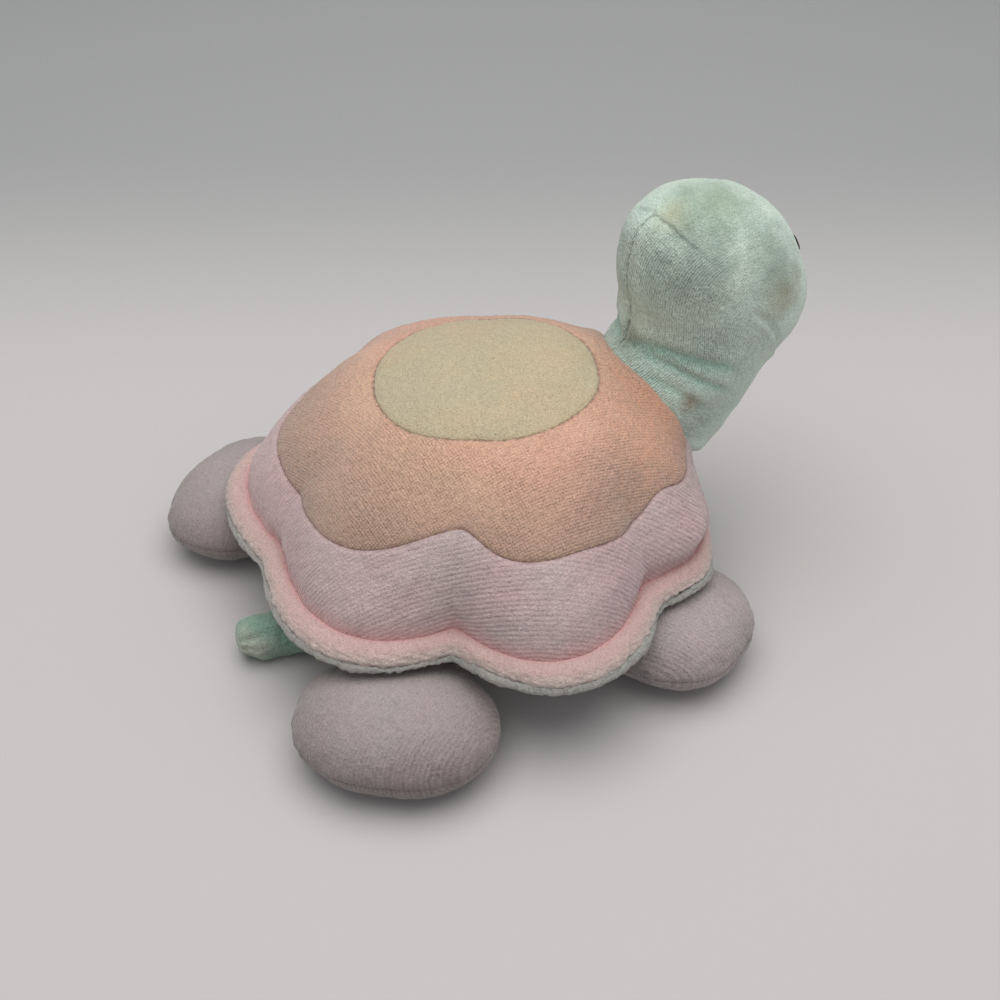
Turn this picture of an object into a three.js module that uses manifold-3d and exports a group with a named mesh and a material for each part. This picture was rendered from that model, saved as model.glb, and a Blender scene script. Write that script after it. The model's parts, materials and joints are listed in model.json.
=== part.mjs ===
// A stuffed velour turtle: a six-lobed domed shell with a soft rim, a long neck and round head,
// four pebble-shaped feet and a stub of a tail. Millimetres, +Z up, the head towards -Y.
// The origin is the middle of the flat patch on which the belly rests.
import * as THREE from 'three';
import Module from 'manifold-3d';

const wasm = await Module();
wasm.setup();

// How finely curves are followed
const normalStep = 0.004;
const wallSteps = 200;
const reachFactor = 2;
const ringStartShare = 0.5;

// Fabric and seams
const fabricThickness = 1.5;
const clearance = 0.3;
const halfSeam = clearance / 2;
const restCut = 0.5;
const stuffingInset = fabricThickness + clearance;

// Shell, seen from above: half an ellipse behind the middle and half an ellipse before it.
// A higher fullness makes the dome's side steeper.
const shellHalfWidth = 102.5;
const shellRearReach = 87.5;
const shellFrontReach = 94.5;
const shellMiddleY = 6;
const apexY = -7;
const creaseHeight = 41;
const domeRise = 64;
const shellMiddleShare = 0.9;
const rearFullness = 2.2;
const sideFullness = 2.33;
const frontFullness = 3.1;
const shoulderPower = 0.77;

// Three lobes a side: where the notches between them stand, counted from behind, and how deep each one cuts
const notches = [
  { degrees: 0, depthShare: 0.11 },
  { degrees: 64, depthShare: 0.205 },
  { degrees: 117, depthShare: 0.13 },
  { degrees: 180, depthShare: 0.05 },
];
const pointsPerLobe = 7;
const notchSoftness = 0.1;
const notchFadePower = 2.3;

// Sewn panels of the shell, as shares of the way from the apex to the crease. The middle panel's edge
// rises to a cusp between two scallops, and each cusp spreads over some degrees behind and before it.
const topPatchShare = 0.44;
const topPatchStretchShare = 0.034;
const topPatchForwardShare = 0.03;
const middlePanelShare = 0.803;
const middlePanelEndShare = 0.065;
const middlePanelForwardShare = 0.05;
const forwardDegrees = [92, 118];
const scallopCusps = [
  { degrees: 62, depthShare: 0.071, spreadBehind: 20, spreadBefore: 9.5 },
  { degrees: 130, depthShare: 0.043, spreadBehind: 9, spreadBefore: 9 },
];

// Belly, from the crease inwards and down to the floor: shares of the outline and of the crease's height
const bellyProfileShares = [
  [1, 1], [0.97, 0.9], [0.86, 0.82], [0.73, 0.73], [0.65, 0.58],
  [0.62, 0.38], [0.57, 0.17], [0.46, 0.04], [0.25, 0],
];
const bowlShare = 0.65;
const bellyMiddleY = 16;
const bellySink = restCut;

// Rim: a soft two-layer lip sewn in along the crease
const rimWidth = 9.4;
const rimHalfThickness = 3.1;
const rimDroop = 3;
const rimFrontWidth = 2.8;
const rimFrontDroop = 5;
const rimFrontDegrees = [126, 148];
const rimMiddleDrop = 2;
const rimSectionShares = [[0, 1], [0.45, 0.95], [0.85, 0.62], [1, 0]];

// Head and neck, in a frame that leans forwards about the neck's root
const neckRootY = -68;
const neckRootZ = 67;
const neckRootRadius = 28.5;
const neckRoot = new THREE.Vector3(0, neckRootY, neckRootZ);
const pocketSides = 28;
const neckPocketClearance = 0.4;
const nodDegrees = [-10, 15];
const nodShares = [0, 0.5, 1];
const headLeanDegrees = 34;
const headHeight = 98.5;
const headReach = 42;
const headHalfWidth = 34;
const neckRootRowShares = [-0.94, -0.8, -0.56, -0.28, 0];
// Each row: height, reach before, reach behind and half width
const headProfileShares = [
  [0.015, 0.82, 0.677, 0.83], [0.06, 0.9, 0.665, 0.81], [0.14, 0.97, 0.6, 0.82], [0.26, 0.99, 0.53, 0.86],
  [0.38, 0.985, 0.67, 0.885], [0.495, 0.985, 0.92, 0.945], [0.65, 0.995, 1.07, 1], [0.79, 0.855, 1, 0.93],
  [0.89, 0.585, 0.82, 0.76], [0.96, 0.31, 0.52, 0.48],
];
const headSides = 22;

// Embroidered eyes
const eyeHalfLength = 3.6;
const eyeHalfWidth = 2.6;
const eyeThickness = 1.1;
const eyeSides = 10;
const eyeRowShares = [-0.7, 0, 0.7];
const eyeHeightShare = 0.91;
const eyeTurnDegrees = 21;
const eyeNudge = 0.04;

// Feet, in a frame at the seam that joins each to the belly, the toe towards +Y
const footRootRadius = 8;
const footRootHalfWidth = 18;
const footLength = 63;
const footHalfWidth = 38.5;
const footHalfHeight = 15.5;
const footSeamHeight = footHalfHeight - restCut;
const footRootRowShares = [-0.92, -0.5, 0];
// Each row: distance along the foot, half width and half height
const footProfileShares = [
  [0.14, 0.7, 0.74], [0.3, 0.92, 0.93], [0.48, 1, 1], [0.68, 0.95, 0.95],
  [0.84, 0.75, 0.75], [0.94, 0.48, 0.48],
];
const footSides = 16;
const footPlaces = [
  { name: 'rear_left', side: 1, turnDegrees: 48, lengthShare: 0.93, widthShare: 1 },
  { name: 'rear_right', side: -1, turnDegrees: 57, lengthShare: 1, widthShare: 1 },
  { name: 'front_left', side: 1, turnDegrees: 131, lengthShare: 1, widthShare: 0.88 },
  { name: 'front_right', side: -1, turnDegrees: 131, lengthShare: 1, widthShare: 0.88 },
];

// Tail, in a frame at its seam, its blunt end towards +Y
const tailRootRadius = 6.5;
const tailLength = 36.5;
const tailRadius = 9.6;
const tailPlaceDegrees = 14;
const tailTurnDegrees = -9;
const tailProfileShares = [[0.22, 0.95, 0.95], [0.45, 1, 1], [0.75, 0.9, 0.9], [0.94, 0.7, 0.7]];
const tailSides = 14;

const colours = {
  yellow: 0xe2d6a8, peach: 0xe6b794, lilac: 0xcdb6bd, pink: 0xe3b9b3,
  mint: 0xb4cdc4, greyLilac: 0xbfb5b8, black: 0x1d1b1c, filling: 0xf1eee6,
};

// Building closed bodies

// Joins each ring to the next one. A ring of one point closes an end, and each face between
// two whole rings is split along its shorter diagonal.
function bodyFromRings(rings, closesOnItself) {
  const points = rings.flat();
  const starts = rings.map((_, index) => rings.slice(0, index).flat().length);
  const triangles = [];
  const joinCount = closesOnItself ? rings.length : rings.length - 1;
  for (let index = 0; index < joinCount; index += 1) {
    const next = (index + 1) % rings.length;
    const size = Math.max(rings[index].length, rings[next].length);
    for (let step = 0; step < size; step += 1) {
      const after = (step + 1) % size;
      const cornerOf = (ring, place) => starts[ring] + (rings[ring].length > 1 ? place : 0);
      const [a, b] = [cornerOf(index, step), cornerOf(index, after)];
      const [c, d] = [cornerOf(next, after), cornerOf(next, step)];
      if (a === b) {
        triangles.push(a, c, d);
      } else if (c === d) {
        triangles.push(a, b, c);
      } else if (points[a].distanceTo(points[c]) < points[b].distanceTo(points[d])) {
        triangles.push(a, b, c, a, c, d);
      } else {
        triangles.push(a, b, d, b, c, d);
      }
    }
  }
  const positions = points.flatMap((point) => point.toArray());
  return facingOut(geometryOf(new Float32Array(positions), triangles));
}

function geometryOf(positions, triangles) {
  const geometry = new THREE.BufferGeometry();
  geometry.setAttribute('position', new THREE.BufferAttribute(positions, 3));
  geometry.setIndex(Array.from(triangles));
  return geometry;
}

function facingOut(geometry) {
  const corners = geometry.index.array;
  const at = (corner) => new THREE.Vector3().fromBufferAttribute(geometry.attributes.position, corner);
  let volume = 0;
  for (let corner = 0; corner < corners.length; corner += 3) {
    volume += at(corners[corner]).dot(at(corners[corner + 1]).cross(at(corners[corner + 2])));
  }
  if (volume < 0) {
    geometry.setIndex(Array.from(corners).reverse());
  }
  return geometry;
}

function toSolid(geometry) {
  const vertProperties = new Float32Array(geometry.attributes.position.array);
  const triVerts = new Uint32Array(geometry.index.array);
  return new wasm.Manifold(new wasm.Mesh({ numProp: 3, vertProperties, triVerts }));
}

function subtract(geometry, ...tools) {
  let solid = toSolid(geometry);
  for (const tool of tools) {
    solid = solid.subtract(toSolid(tool));
  }
  const mesh = solid.getMesh();
  return geometryOf(new Float32Array(mesh.vertProperties), mesh.triVerts);
}

// A box between two opposite corners, as rings of four points
function boxBetween(low, high) {
  const ringAt = (z) => [[low.x, low.y], [high.x, low.y], [high.x, high.y], [low.x, high.y]]
    .map(([x, y]) => new THREE.Vector3(x, y, z));
  const middle = (z) => [new THREE.Vector3((low.x + high.x) / 2, (low.y + high.y) / 2, z)];
  return bodyFromRings([middle(low.z), ringAt(low.z), ringAt(high.z), middle(high.z)], false);
}

// A ball of rings about the z axis
function ball(radius, centre, sides) {
  const ringCount = sides / 2;
  const rings = [];
  for (let row = 0; row <= ringCount; row += 1) {
    const tilt = (row / ringCount) * Math.PI;
    const height = centre.z - radius * Math.cos(tilt);
    const isPole = row === 0 || row === ringCount;
    rings.push(isPole
      ? [new THREE.Vector3(centre.x, centre.y, height)]
      : circleOf(sides, (angle) => new THREE.Vector3(
        centre.x + radius * Math.sin(tilt) * Math.cos(angle),
        centre.y + radius * Math.sin(tilt) * Math.sin(angle),
        height,
      )));
  }
  return bodyFromRings(rings, false);
}

function circleOf(count, pointAt) {
  const angleAt = (index) => ((index + ringStartShare) / count) * 2 * Math.PI;
  return Array.from({ length: count }, (_, index) => pointAt(angleAt(index)));
}

// Limbs: rings across a line of stations. A station has a place, a half width and a reach each way.

// An inset ring lies inside the outer one and a little nearer to the root's centre.
function stationRing(station, stations, length, sides, inset) {
  const full = station.height < 0 ? -stations[0].height : length;
  const height = station.height * (1 - inset / full);
  return circleOf(sides, (angle) => {
    const across = (station.halfWidth - inset) * Math.cos(angle);
    const middle = (station.behind - station.before) / 2;
    const reach = (station.behind + station.before) / 2 - inset;
    return new THREE.Vector3(across, middle + reach * Math.sin(angle), height);
  });
}

// Rows of a ball-shaped root from its lowest opening up to where the limb's own profile begins
function rootStations(radius, halfWidth, rowShares) {
  return rowShares.map((share) => {
    const flat = Math.sqrt(1 - share * share);
    const reach = radius * flat;
    return { height: radius * share, halfWidth: halfWidth * flat, before: reach, behind: reach };
  });
}

function limbSolid({ stations, length, sides }, inset) {
  const rings = stations.map((station) => stationRing(station, stations, length, sides, inset));
  const start = [new THREE.Vector3(0, 0, rings[0][0].z)];
  const tip = [new THREE.Vector3(0, 0, length - inset)];
  return bodyFromRings([start, ...rings, tip], false);
}

function limbSkin({ stations, length, sides }) {
  const outer = stations.map((station) => stationRing(station, stations, length, sides, 0));
  const inner = stations.map((station) => stationRing(station, stations, length, sides, fabricThickness));
  const tip = (inset) => [new THREE.Vector3(0, 0, length - inset)];
  return bodyFromRings([tip(0), ...outer.reverse(), ...inner, tip(fabricThickness)], false);
}

// A limb from its root radius, its greatest sizes and its rows of shares
function limb({ rootRadius, rootHalfWidth, rootRows, length, before, behind, halfWidth, rows, sides }) {
  const stations = [
    ...rootStations(rootRadius, rootHalfWidth, rootRows),
    ...rows.map(([along, beforeShare, behindShare, widthShare]) => ({
      height: along * length,
      before: beforeShare * before,
      behind: behindShare * behind,
      halfWidth: widthShare * halfWidth,
    })),
  ];
  return { stations, length, sides };
}

const headShape = {
  rootRadius: neckRootRadius,
  rootHalfWidth: neckRootRadius,
  rootRows: neckRootRowShares,
  length: headHeight,
  before: headReach,
  behind: headReach,
  halfWidth: headHalfWidth,
  rows: headProfileShares,
  sides: headSides,
};
const headLimb = limb(headShape);
const slimRoot = neckRootRadius - fabricThickness;
const equatorReach = neckRootRadius / headReach;
const equatorShares = [0, equatorReach, equatorReach, neckRootRadius / headHalfWidth];
const neckAboveRoot = limb({
  ...headShape,
  rootRadius: slimRoot,
  rootHalfWidth: slimRoot,
  rootRows: neckRootRowShares.slice(0, -1),
  rows: [equatorShares, ...headProfileShares],
});

// Shell outline and dome. An angle is counted from behind (+Y) towards the turtle's right (-X).

function degreesFromBehind(angle) {
  return Math.abs(THREE.MathUtils.radToDeg(Math.atan2(Math.sin(angle), Math.cos(angle))));
}

// How much of a notch the outline keeps at an angle: its full depth at the notch, none on top of a lobe
function notchShareAt(angle) {
  const degrees = degreesFromBehind(angle);
  const after = Math.max(notches.findIndex((notch) => notch.degrees > degrees), 1);
  const [low, high] = degrees < 180 ? [notches[after - 1], notches[after]] : notches.slice(-2);
  const place = (degrees - low.degrees) / (high.degrees - low.degrees);
  const soft = (value) => Math.sqrt(value * value + notchSoftness * notchSoftness) - notchSoftness;
  const lobe = soft(Math.sin(Math.PI * place)) / soft(1);
  const eased = THREE.MathUtils.smoothstep(place, 0, 1);
  const depth = THREE.MathUtils.lerp(low.depthShare, high.depthShare, eased);
  return depth * (1 - lobe);
}

function outlineRadius(angle, level) {
  const reach = Math.cos(angle) > 0 ? shellRearReach : shellFrontReach;
  const plain = 1 / Math.hypot(Math.sin(angle) / shellHalfWidth, Math.cos(angle) / reach);
  return plain * (1 - notchShareAt(angle) * level ** notchFadePower);
}

function domePoint(angle, level) {
  const radius = outlineRadius(angle, level) * level;
  const endFullness = Math.cos(angle) > 0 ? rearFullness : frontFullness;
  const fullness = THREE.MathUtils.lerp(sideFullness, endFullness, Math.cos(angle) ** 2);
  const middleY = THREE.MathUtils.lerp(apexY, shellMiddleY, level);
  const height = creaseHeight + domeRise * Math.max(1 - level ** fullness, 0) ** shoulderPower;
  return new THREE.Vector3(-radius * Math.sin(angle), middleY + radius * Math.cos(angle), height);
}

const bellyCurve = new THREE.SplineCurve(bellyProfileShares.map(([out, up]) => new THREE.Vector2(out, up)));

function bellyPoint(angle, level) {
  const place = bellyCurve.getPoint(1 - level);
  const centring = Math.min(level * bellyProfileShares.length, 1);
  const radius = outlineRadius(angle, place.x) * place.x * centring;
  const outwards = THREE.MathUtils.smoothstep(place.x, bowlShare, 1);
  const middleY = THREE.MathUtils.lerp(bellyMiddleY, shellMiddleY, outwards);
  const height = -bellySink + (creaseHeight + bellySink) * place.y;
  return new THREE.Vector3(-radius * Math.sin(angle), middleY + radius * Math.cos(angle), height);
}

// A point moved along the surface's outward normal, measured on the surface function itself
function liftedPoint(surface, angle, level, lift, outward) {
  const nudge = normalStep;
  const point = surface(angle, level);
  const low = Math.max(level - nudge, nudge);
  const high = Math.min(Math.max(level + nudge, 2 * nudge), 1);
  const along = surface(angle, high).sub(surface(angle, low));
  const middleLevel = (low + high) / 2;
  const around = surface(angle + nudge, middleLevel).sub(surface(angle - nudge, middleLevel));
  const normal = along.cross(around).normalize();
  const side = Math.sign(normal.dot(outward(point))) || 1;
  return point.addScaledVector(normal, side * lift);
}

const shellMiddle = new THREE.Vector3(0, shellMiddleY, creaseHeight * shellMiddleShare);
const outFromShell = (point) => point.clone().sub(shellMiddle);

// The same number of points on each lobe, with one at every notch
const shellAngles = [];
for (const side of [1, -1]) {
  const course = side > 0 ? notches : [...notches].reverse();
  for (let index = 0; index < course.length - 1; index += 1) {
    const [start, end] = [course[index].degrees, course[index + 1].degrees];
    for (let step = 0; step < pointsPerLobe; step += 1) {
      const degrees = THREE.MathUtils.lerp(start, end, step / pointsPerLobe);
      shellAngles.push(THREE.MathUtils.degToRad(side * degrees));
    }
  }
}

function shellRing(surface, levelAt, lift) {
  return shellAngles.map((angle) => liftedPoint(surface, angle, levelAt(angle), lift, outFromShell));
}

function shellPole(surface, lift) {
  return [surface(0, 0).add(new THREE.Vector3(0, 0, lift))];
}

function topPatchEdge(angle) {
  const forward = topPatchForwardShare * (1 - Math.cos(angle)) / 2;
  return topPatchShare + topPatchStretchShare * Math.cos(2 * angle) + forward;
}

function middlePanelEdge(angle) {
  const turned = degreesFromBehind(angle);
  const depth = scallopCusps.reduce((total, cusp) => {
    const spread = turned < cusp.degrees ? cusp.spreadBehind : cusp.spreadBefore;
    return total + cusp.depthShare * Math.exp(-(((turned - cusp.degrees) / spread) ** 2));
  }, 0);
  const end = middlePanelEndShare * Math.cos(angle) ** 2;
  const forward = middlePanelForwardShare * THREE.MathUtils.smoothstep(turned, ...forwardDegrees);
  return middlePanelShare + end + forward - depth;
}

// Levels in even rows between two edges, kept back from them by the gaps given
function levelsBetween(innerEdge, outerEdge, rowCount, innerGap, outerGap) {
  return Array.from({ length: rowCount + 1 }, (_, row) => (angle) => {
    const seam = 1 / outlineRadius(angle, 1);
    const inner = innerEdge(angle) + innerGap * seam;
    const outer = outerEdge(angle) - outerGap * seam;
    return THREE.MathUtils.lerp(inner, outer, row / rowCount);
  });
}

const apex = () => 0;
const crease = () => 1;
const panelRows = { top: 3, middle: 3, skirt: 4 };

// A sheet of fabric over a range of levels, its outside on the surface
function panelRings(surface, levels) {
  const outer = levels.map((level) => shellRing(surface, level, 0));
  const inner = levels.map((level) => shellRing(surface, level, -fabricThickness));
  return [...outer, ...inner.reverse()];
}

// The hollow for the neck: a ball about its root, and the neck itself at each end and in the middle
// of its nod
function neckPockets() {
  const pockets = [ball(neckRootRadius + neckPocketClearance, neckRoot, pocketSides)];
  for (const share of nodShares) {
    const neck = limbSolid(neckAboveRoot, -neckPocketClearance);
    const nod = THREE.MathUtils.lerp(...nodDegrees, share);
    neck.rotateX(THREE.MathUtils.degToRad(headLeanDegrees + nod));
    pockets.push(neck.translate(neckRoot.x, neckRoot.y, neckRoot.z));
  }
  return pockets;
}

function shellTopPatch() {
  const levels = levelsBetween(apex, topPatchEdge, panelRows.top, 0, halfSeam).slice(1);
  const [outside, inside] = [shellPole(domePoint, 0), shellPole(domePoint, -fabricThickness)];
  return bodyFromRings([outside, ...panelRings(domePoint, levels), inside], false);
}

function shellMiddlePanel() {
  const levels = levelsBetween(topPatchEdge, middlePanelEdge, panelRows.middle, halfSeam, halfSeam);
  return subtract(bodyFromRings(panelRings(domePoint, levels), true), ...neckPockets());
}

function shellSkirtPanel() {
  const levels = levelsBetween(middlePanelEdge, crease, panelRows.skirt, halfSeam, 0);
  return subtract(bodyFromRings(panelRings(domePoint, levels), true), ...neckPockets());
}

const bellyLevels = bellyProfileShares.map((_, row) => 1 - row / bellyProfileShares.length);

function floorCut() {
  const reach = reachFactor * shellHalfWidth;
  return boxBetween(new THREE.Vector3(-reach, -reach, -reach), new THREE.Vector3(reach, reach, 0));
}

function bellyPanel() {
  const levels = bellyLevels.slice(1).reverse().map((level) => () => level);
  const [outside, inside] = [shellPole(bellyPoint, 0), shellPole(bellyPoint, fabricThickness)];
  return subtract(bodyFromRings([outside, ...panelRings(bellyPoint, levels), inside], false), floorCut());
}

function bodyStuffing() {
  const depth = -stuffingInset;
  const domeRings = [
    ...levelsBetween(apex, topPatchEdge, panelRows.top, 0, 0).slice(1),
    ...levelsBetween(topPatchEdge, middlePanelEdge, panelRows.middle, 0, 0).slice(1),
    ...levelsBetween(middlePanelEdge, crease, panelRows.skirt, 0, 0).slice(1),
  ].map((level) => shellRing(domePoint, level, depth));
  const bellyRings = bellyLevels.slice(1).map((level) => shellRing(bellyPoint, () => level, depth));
  const rings = [shellPole(domePoint, depth), ...domeRings, ...bellyRings, shellPole(bellyPoint, -depth)];
  return subtract(bodyFromRings(rings, false), ...neckPockets());
}

// One layer of the rim. The side is 1 for the upper layer and -1 for the one under it.
function rimBand(side) {
  const sectionPoints = [[0, 0], ...rimSectionShares];
  const rings = sectionPoints.map(([out, up]) => shellAngles.map((angle) => {
    const front = THREE.MathUtils.smoothstep(degreesFromBehind(angle), ...rimFrontDegrees);
    const width = THREE.MathUtils.lerp(rimWidth, rimFrontWidth, front);
    const droop = THREE.MathUtils.lerp(rimDroop, rimFrontDroop, front);
    const radius = outlineRadius(angle, 1) + clearance + out * (width - clearance);
    const middle = creaseHeight - rimMiddleDrop - droop * out * out;
    const height = middle + side * (halfSeam + up * rimHalfThickness);
    return new THREE.Vector3(-radius * Math.sin(angle), shellMiddleY + radius * Math.cos(angle), height);
  }));
  return bodyFromRings(rings, true);
}

// Head and neck

function sideCut(side) {
  const reach = reachFactor * headHeight;
  const near = side * halfSeam;
  const low = new THREE.Vector3(Math.min(near, -side * reach), -reach, -reach);
  const high = new THREE.Vector3(Math.max(near, -side * reach), reach, reach);
  return boxBetween(low, high);
}

function headPanel(side) {
  return subtract(limbSkin(headLimb), sideCut(side));
}

// A point on the head's outside. The turn is counted from straight ahead towards a side.
function headPoint(heightShare, turn, side) {
  const upper = headProfileShares.findIndex(([height]) => height > heightShare);
  const [low, high] = [headProfileShares[upper - 1], headProfileShares[upper]];
  const blend = (heightShare - low[0]) / (high[0] - low[0]);
  const between = low.map((share, index) => THREE.MathUtils.lerp(share, high[index], blend));
  const [height, before, behind, width] = between;
  const reach = ((before + behind) / 2) * headReach;
  return new THREE.Vector3(
    side * width * headHalfWidth * Math.sin(turn),
    ((behind - before) / 2) * headReach - reach * Math.cos(turn),
    height * headHeight,
  );
}

// An eye is a small lens laid on the side of the head
function eye(name, side) {
  const rings = eyeRowShares.map((share) => circleOf(eyeSides, (angle) => {
    const wide = Math.sqrt(1 - share * share);
    const across = eyeHalfWidth * wide * Math.cos(angle);
    return new THREE.Vector3(across, (eyeThickness / 2) * share, eyeHalfLength * wide * Math.sin(angle));
  }));
  const pole = (end) => [new THREE.Vector3(0, (end * eyeThickness) / 2, 0)];
  const mesh = named(name, colours.black, bodyFromRings([pole(-1), ...rings, pole(1)], false));
  const turn = THREE.MathUtils.degToRad(eyeTurnDegrees);
  const placeAt = (rise, twist) => headPoint(eyeHeightShare + rise, turn + twist, side);
  const point = placeAt(0, 0);
  const up = placeAt(eyeNudge, 0).sub(placeAt(-eyeNudge, 0));
  const around = placeAt(0, eyeNudge).sub(placeAt(0, -eyeNudge));
  const out = around.clone().cross(up).normalize();
  out.multiplyScalar(Math.sign(out.x * side));
  const along = up.normalize();
  const across = out.clone().cross(along);
  mesh.setRotationFromMatrix(new THREE.Matrix4().makeBasis(across, out, along));
  mesh.position.copy(point).addScaledVector(out, clearance + eyeThickness / 2);
  return mesh;
}

// Assembly

function named(name, colour, geometry) {
  const material = new THREE.MeshStandardMaterial({ color: colour, roughness: 0.95, metalness: 0 });
  const mesh = new THREE.Mesh(geometry, material);
  mesh.name = name;
  return mesh;
}

function shell() {
  const group = new THREE.Group();
  group.add(
    named('body_stuffing', colours.filling, bodyStuffing()),
    named('belly_panel', colours.mint, bellyPanel()),
    named('shell_skirt_panel', colours.lilac, shellSkirtPanel()),
    named('shell_middle_panel', colours.peach, shellMiddlePanel()),
    named('shell_top_patch', colours.yellow, shellTopPatch()),
    named('rim_top_band', colours.pink, rimBand(1)),
    named('rim_under_band', colours.mint, rimBand(-1)),
  );
  return group;
}

function head() {
  const group = new THREE.Group();
  group.position.set(0, neckRootY, neckRootZ);
  group.rotation.x = THREE.MathUtils.degToRad(headLeanDegrees);
  group.add(named('head_stuffing', colours.filling, limbSolid(headLimb, stuffingInset)));
  for (const [name, side] of [['left', 1], ['right', -1]]) {
    group.add(named(`head_${name}_panel`, colours.mint, headPanel(side)), eye(`${name}_eye`, side));
  }
  return group;
}

// Feet and tail are made standing on their roots, then laid down along +Y
function laidDown(geometry) {
  return geometry.rotateX(-Math.PI / 2);
}

const footLimb = (lengthShare, widthShare) => limb({
  rootRadius: footRootRadius,
  rootHalfWidth: footRootHalfWidth,
  rootRows: footRootRowShares,
  length: footLength * lengthShare,
  before: footHalfHeight,
  behind: footHalfHeight,
  halfWidth: footHalfWidth * widthShare,
  rows: footProfileShares.map(([along, width, height]) => [along, height, height, width]),
  sides: footSides,
});

function seamCut(side, half) {
  const reach = reachFactor * footLength;
  const near = side * half;
  const low = new THREE.Vector3(-reach, -reach, Math.min(near, -side * reach));
  const high = new THREE.Vector3(reach, reach, Math.max(near, -side * reach));
  return boxBetween(low, high);
}

function footFloorCut() {
  const reach = reachFactor * footLength;
  const low = new THREE.Vector3(-reach, -reach, -reach);
  return boxBetween(low, new THREE.Vector3(reach, reach, -footSeamHeight));
}

// How far the belly's wall stands from the belly's middle at a height, along an angle
function bellyWallRadius(angle, height) {
  let best = bellyPoint(angle, 1);
  for (let step = 0; step <= wallSteps; step += 1) {
    const point = bellyPoint(angle, step / wallSteps);
    if (Math.abs(point.z - height) < Math.abs(best.z - height)) {
      best = point;
    }
  }
  return Math.hypot(best.x, best.y - bellyMiddleY);
}

function foot({ name, side, turnDegrees, lengthShare, widthShare }) {
  const turn = THREE.MathUtils.degToRad(turnDegrees);
  const distance = bellyWallRadius(turn, footSeamHeight) + footRootRadius + clearance;
  const group = new THREE.Group();
  const [across, back] = [side * distance * Math.sin(turn), bellyMiddleY + distance * Math.cos(turn)];
  group.position.set(across, back, footSeamHeight);
  group.rotation.z = -side * turn;
  const shape = footLimb(lengthShare, widthShare);
  const skin = () => laidDown(limbSkin(shape));
  group.add(
    named(`${name}_foot_stuffing`, colours.filling, laidDown(limbSolid(shape, stuffingInset))),
    named(`${name}_foot_top`, colours.greyLilac, subtract(skin(), seamCut(1, halfSeam))),
    named(`${name}_foot_sole`, colours.greyLilac, subtract(skin(), seamCut(-1, halfSeam), footFloorCut())),
  );
  return group;
}

const tailLimb = limb({
  rootRadius: tailRootRadius,
  rootHalfWidth: tailRootRadius,
  rootRows: footRootRowShares,
  length: tailLength,
  before: tailRadius,
  behind: tailRadius,
  halfWidth: tailRadius,
  rows: tailProfileShares.map(([along, width, height]) => [along, height, height, width]),
  sides: tailSides,
});
const tailSeamHeight = tailRadius - restCut;

function tailFloorCut() {
  const reach = reachFactor * tailLength;
  const low = new THREE.Vector3(-reach, -reach, -reach);
  return boxBetween(low, new THREE.Vector3(reach, reach, -tailSeamHeight));
}

function tail() {
  const group = new THREE.Group();
  const place = THREE.MathUtils.degToRad(tailPlaceDegrees);
  const distance = bellyWallRadius(place, tailSeamHeight) + tailRootRadius + clearance;
  const [across, back] = [-distance * Math.sin(place), bellyMiddleY + distance * Math.cos(place)];
  group.position.set(across, back, tailSeamHeight);
  group.rotation.z = THREE.MathUtils.degToRad(tailTurnDegrees);
  group.add(
    named('tail_stuffing', colours.filling, laidDown(limbSolid(tailLimb, stuffingInset))),
    named('tail_cover', colours.mint, subtract(laidDown(limbSkin(tailLimb)), tailFloorCut())),
  );
  return group;
}

const turtle = new THREE.Group();
turtle.add(shell(), head(), ...footPlaces.map(foot), tail());

export default turtle;
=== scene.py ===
import json
import math
import bpy
import numpy as np
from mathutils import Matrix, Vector
from numpy.linalg import norm


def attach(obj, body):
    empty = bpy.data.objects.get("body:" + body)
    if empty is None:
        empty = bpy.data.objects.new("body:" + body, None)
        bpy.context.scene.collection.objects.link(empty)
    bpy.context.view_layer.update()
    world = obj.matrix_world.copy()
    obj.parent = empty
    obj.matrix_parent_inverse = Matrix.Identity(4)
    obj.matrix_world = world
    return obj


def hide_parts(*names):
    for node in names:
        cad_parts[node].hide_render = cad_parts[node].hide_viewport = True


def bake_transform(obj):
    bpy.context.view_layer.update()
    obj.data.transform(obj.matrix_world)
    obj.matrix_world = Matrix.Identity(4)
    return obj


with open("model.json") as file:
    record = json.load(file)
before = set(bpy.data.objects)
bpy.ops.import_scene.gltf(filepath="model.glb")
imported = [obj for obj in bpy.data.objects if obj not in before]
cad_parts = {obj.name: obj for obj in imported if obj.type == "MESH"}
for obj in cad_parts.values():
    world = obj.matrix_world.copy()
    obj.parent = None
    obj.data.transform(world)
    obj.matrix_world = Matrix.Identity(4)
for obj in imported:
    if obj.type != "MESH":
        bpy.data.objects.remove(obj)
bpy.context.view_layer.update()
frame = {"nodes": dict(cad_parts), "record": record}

MM = 0.001
TURN = 2 * math.pi

# Sizes in millimetres, as in the solids. Turns around the shell are degrees from behind
SHELL_HALF_WIDTH, SHELL_REAR, SHELL_FRONT = 102.5, 87.5, 94.5
SHELL_MIDDLE_Y, APEX_Y = 6.0, -7.0
CREASE_Z, DOME_RISE = 41.0, 64.0
REAR_FULL, SIDE_FULL, FRONT_FULL, SHOULDER = 2.2, 2.33, 3.1, 0.77
# Notches between the shell's lobes: turn and depth. Cusps of the peach panel: turn, depth and two widths
NOTCHES = [(0, 0.11), (64, 0.205), (117, 0.13), (180, 0.05)]
NOTCH_SOFT, NOTCH_FADE = 0.1, 2.3
CUSPS = [(62, 0.071, 20, 9.5), (130, 0.043, 9, 9)]
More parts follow.
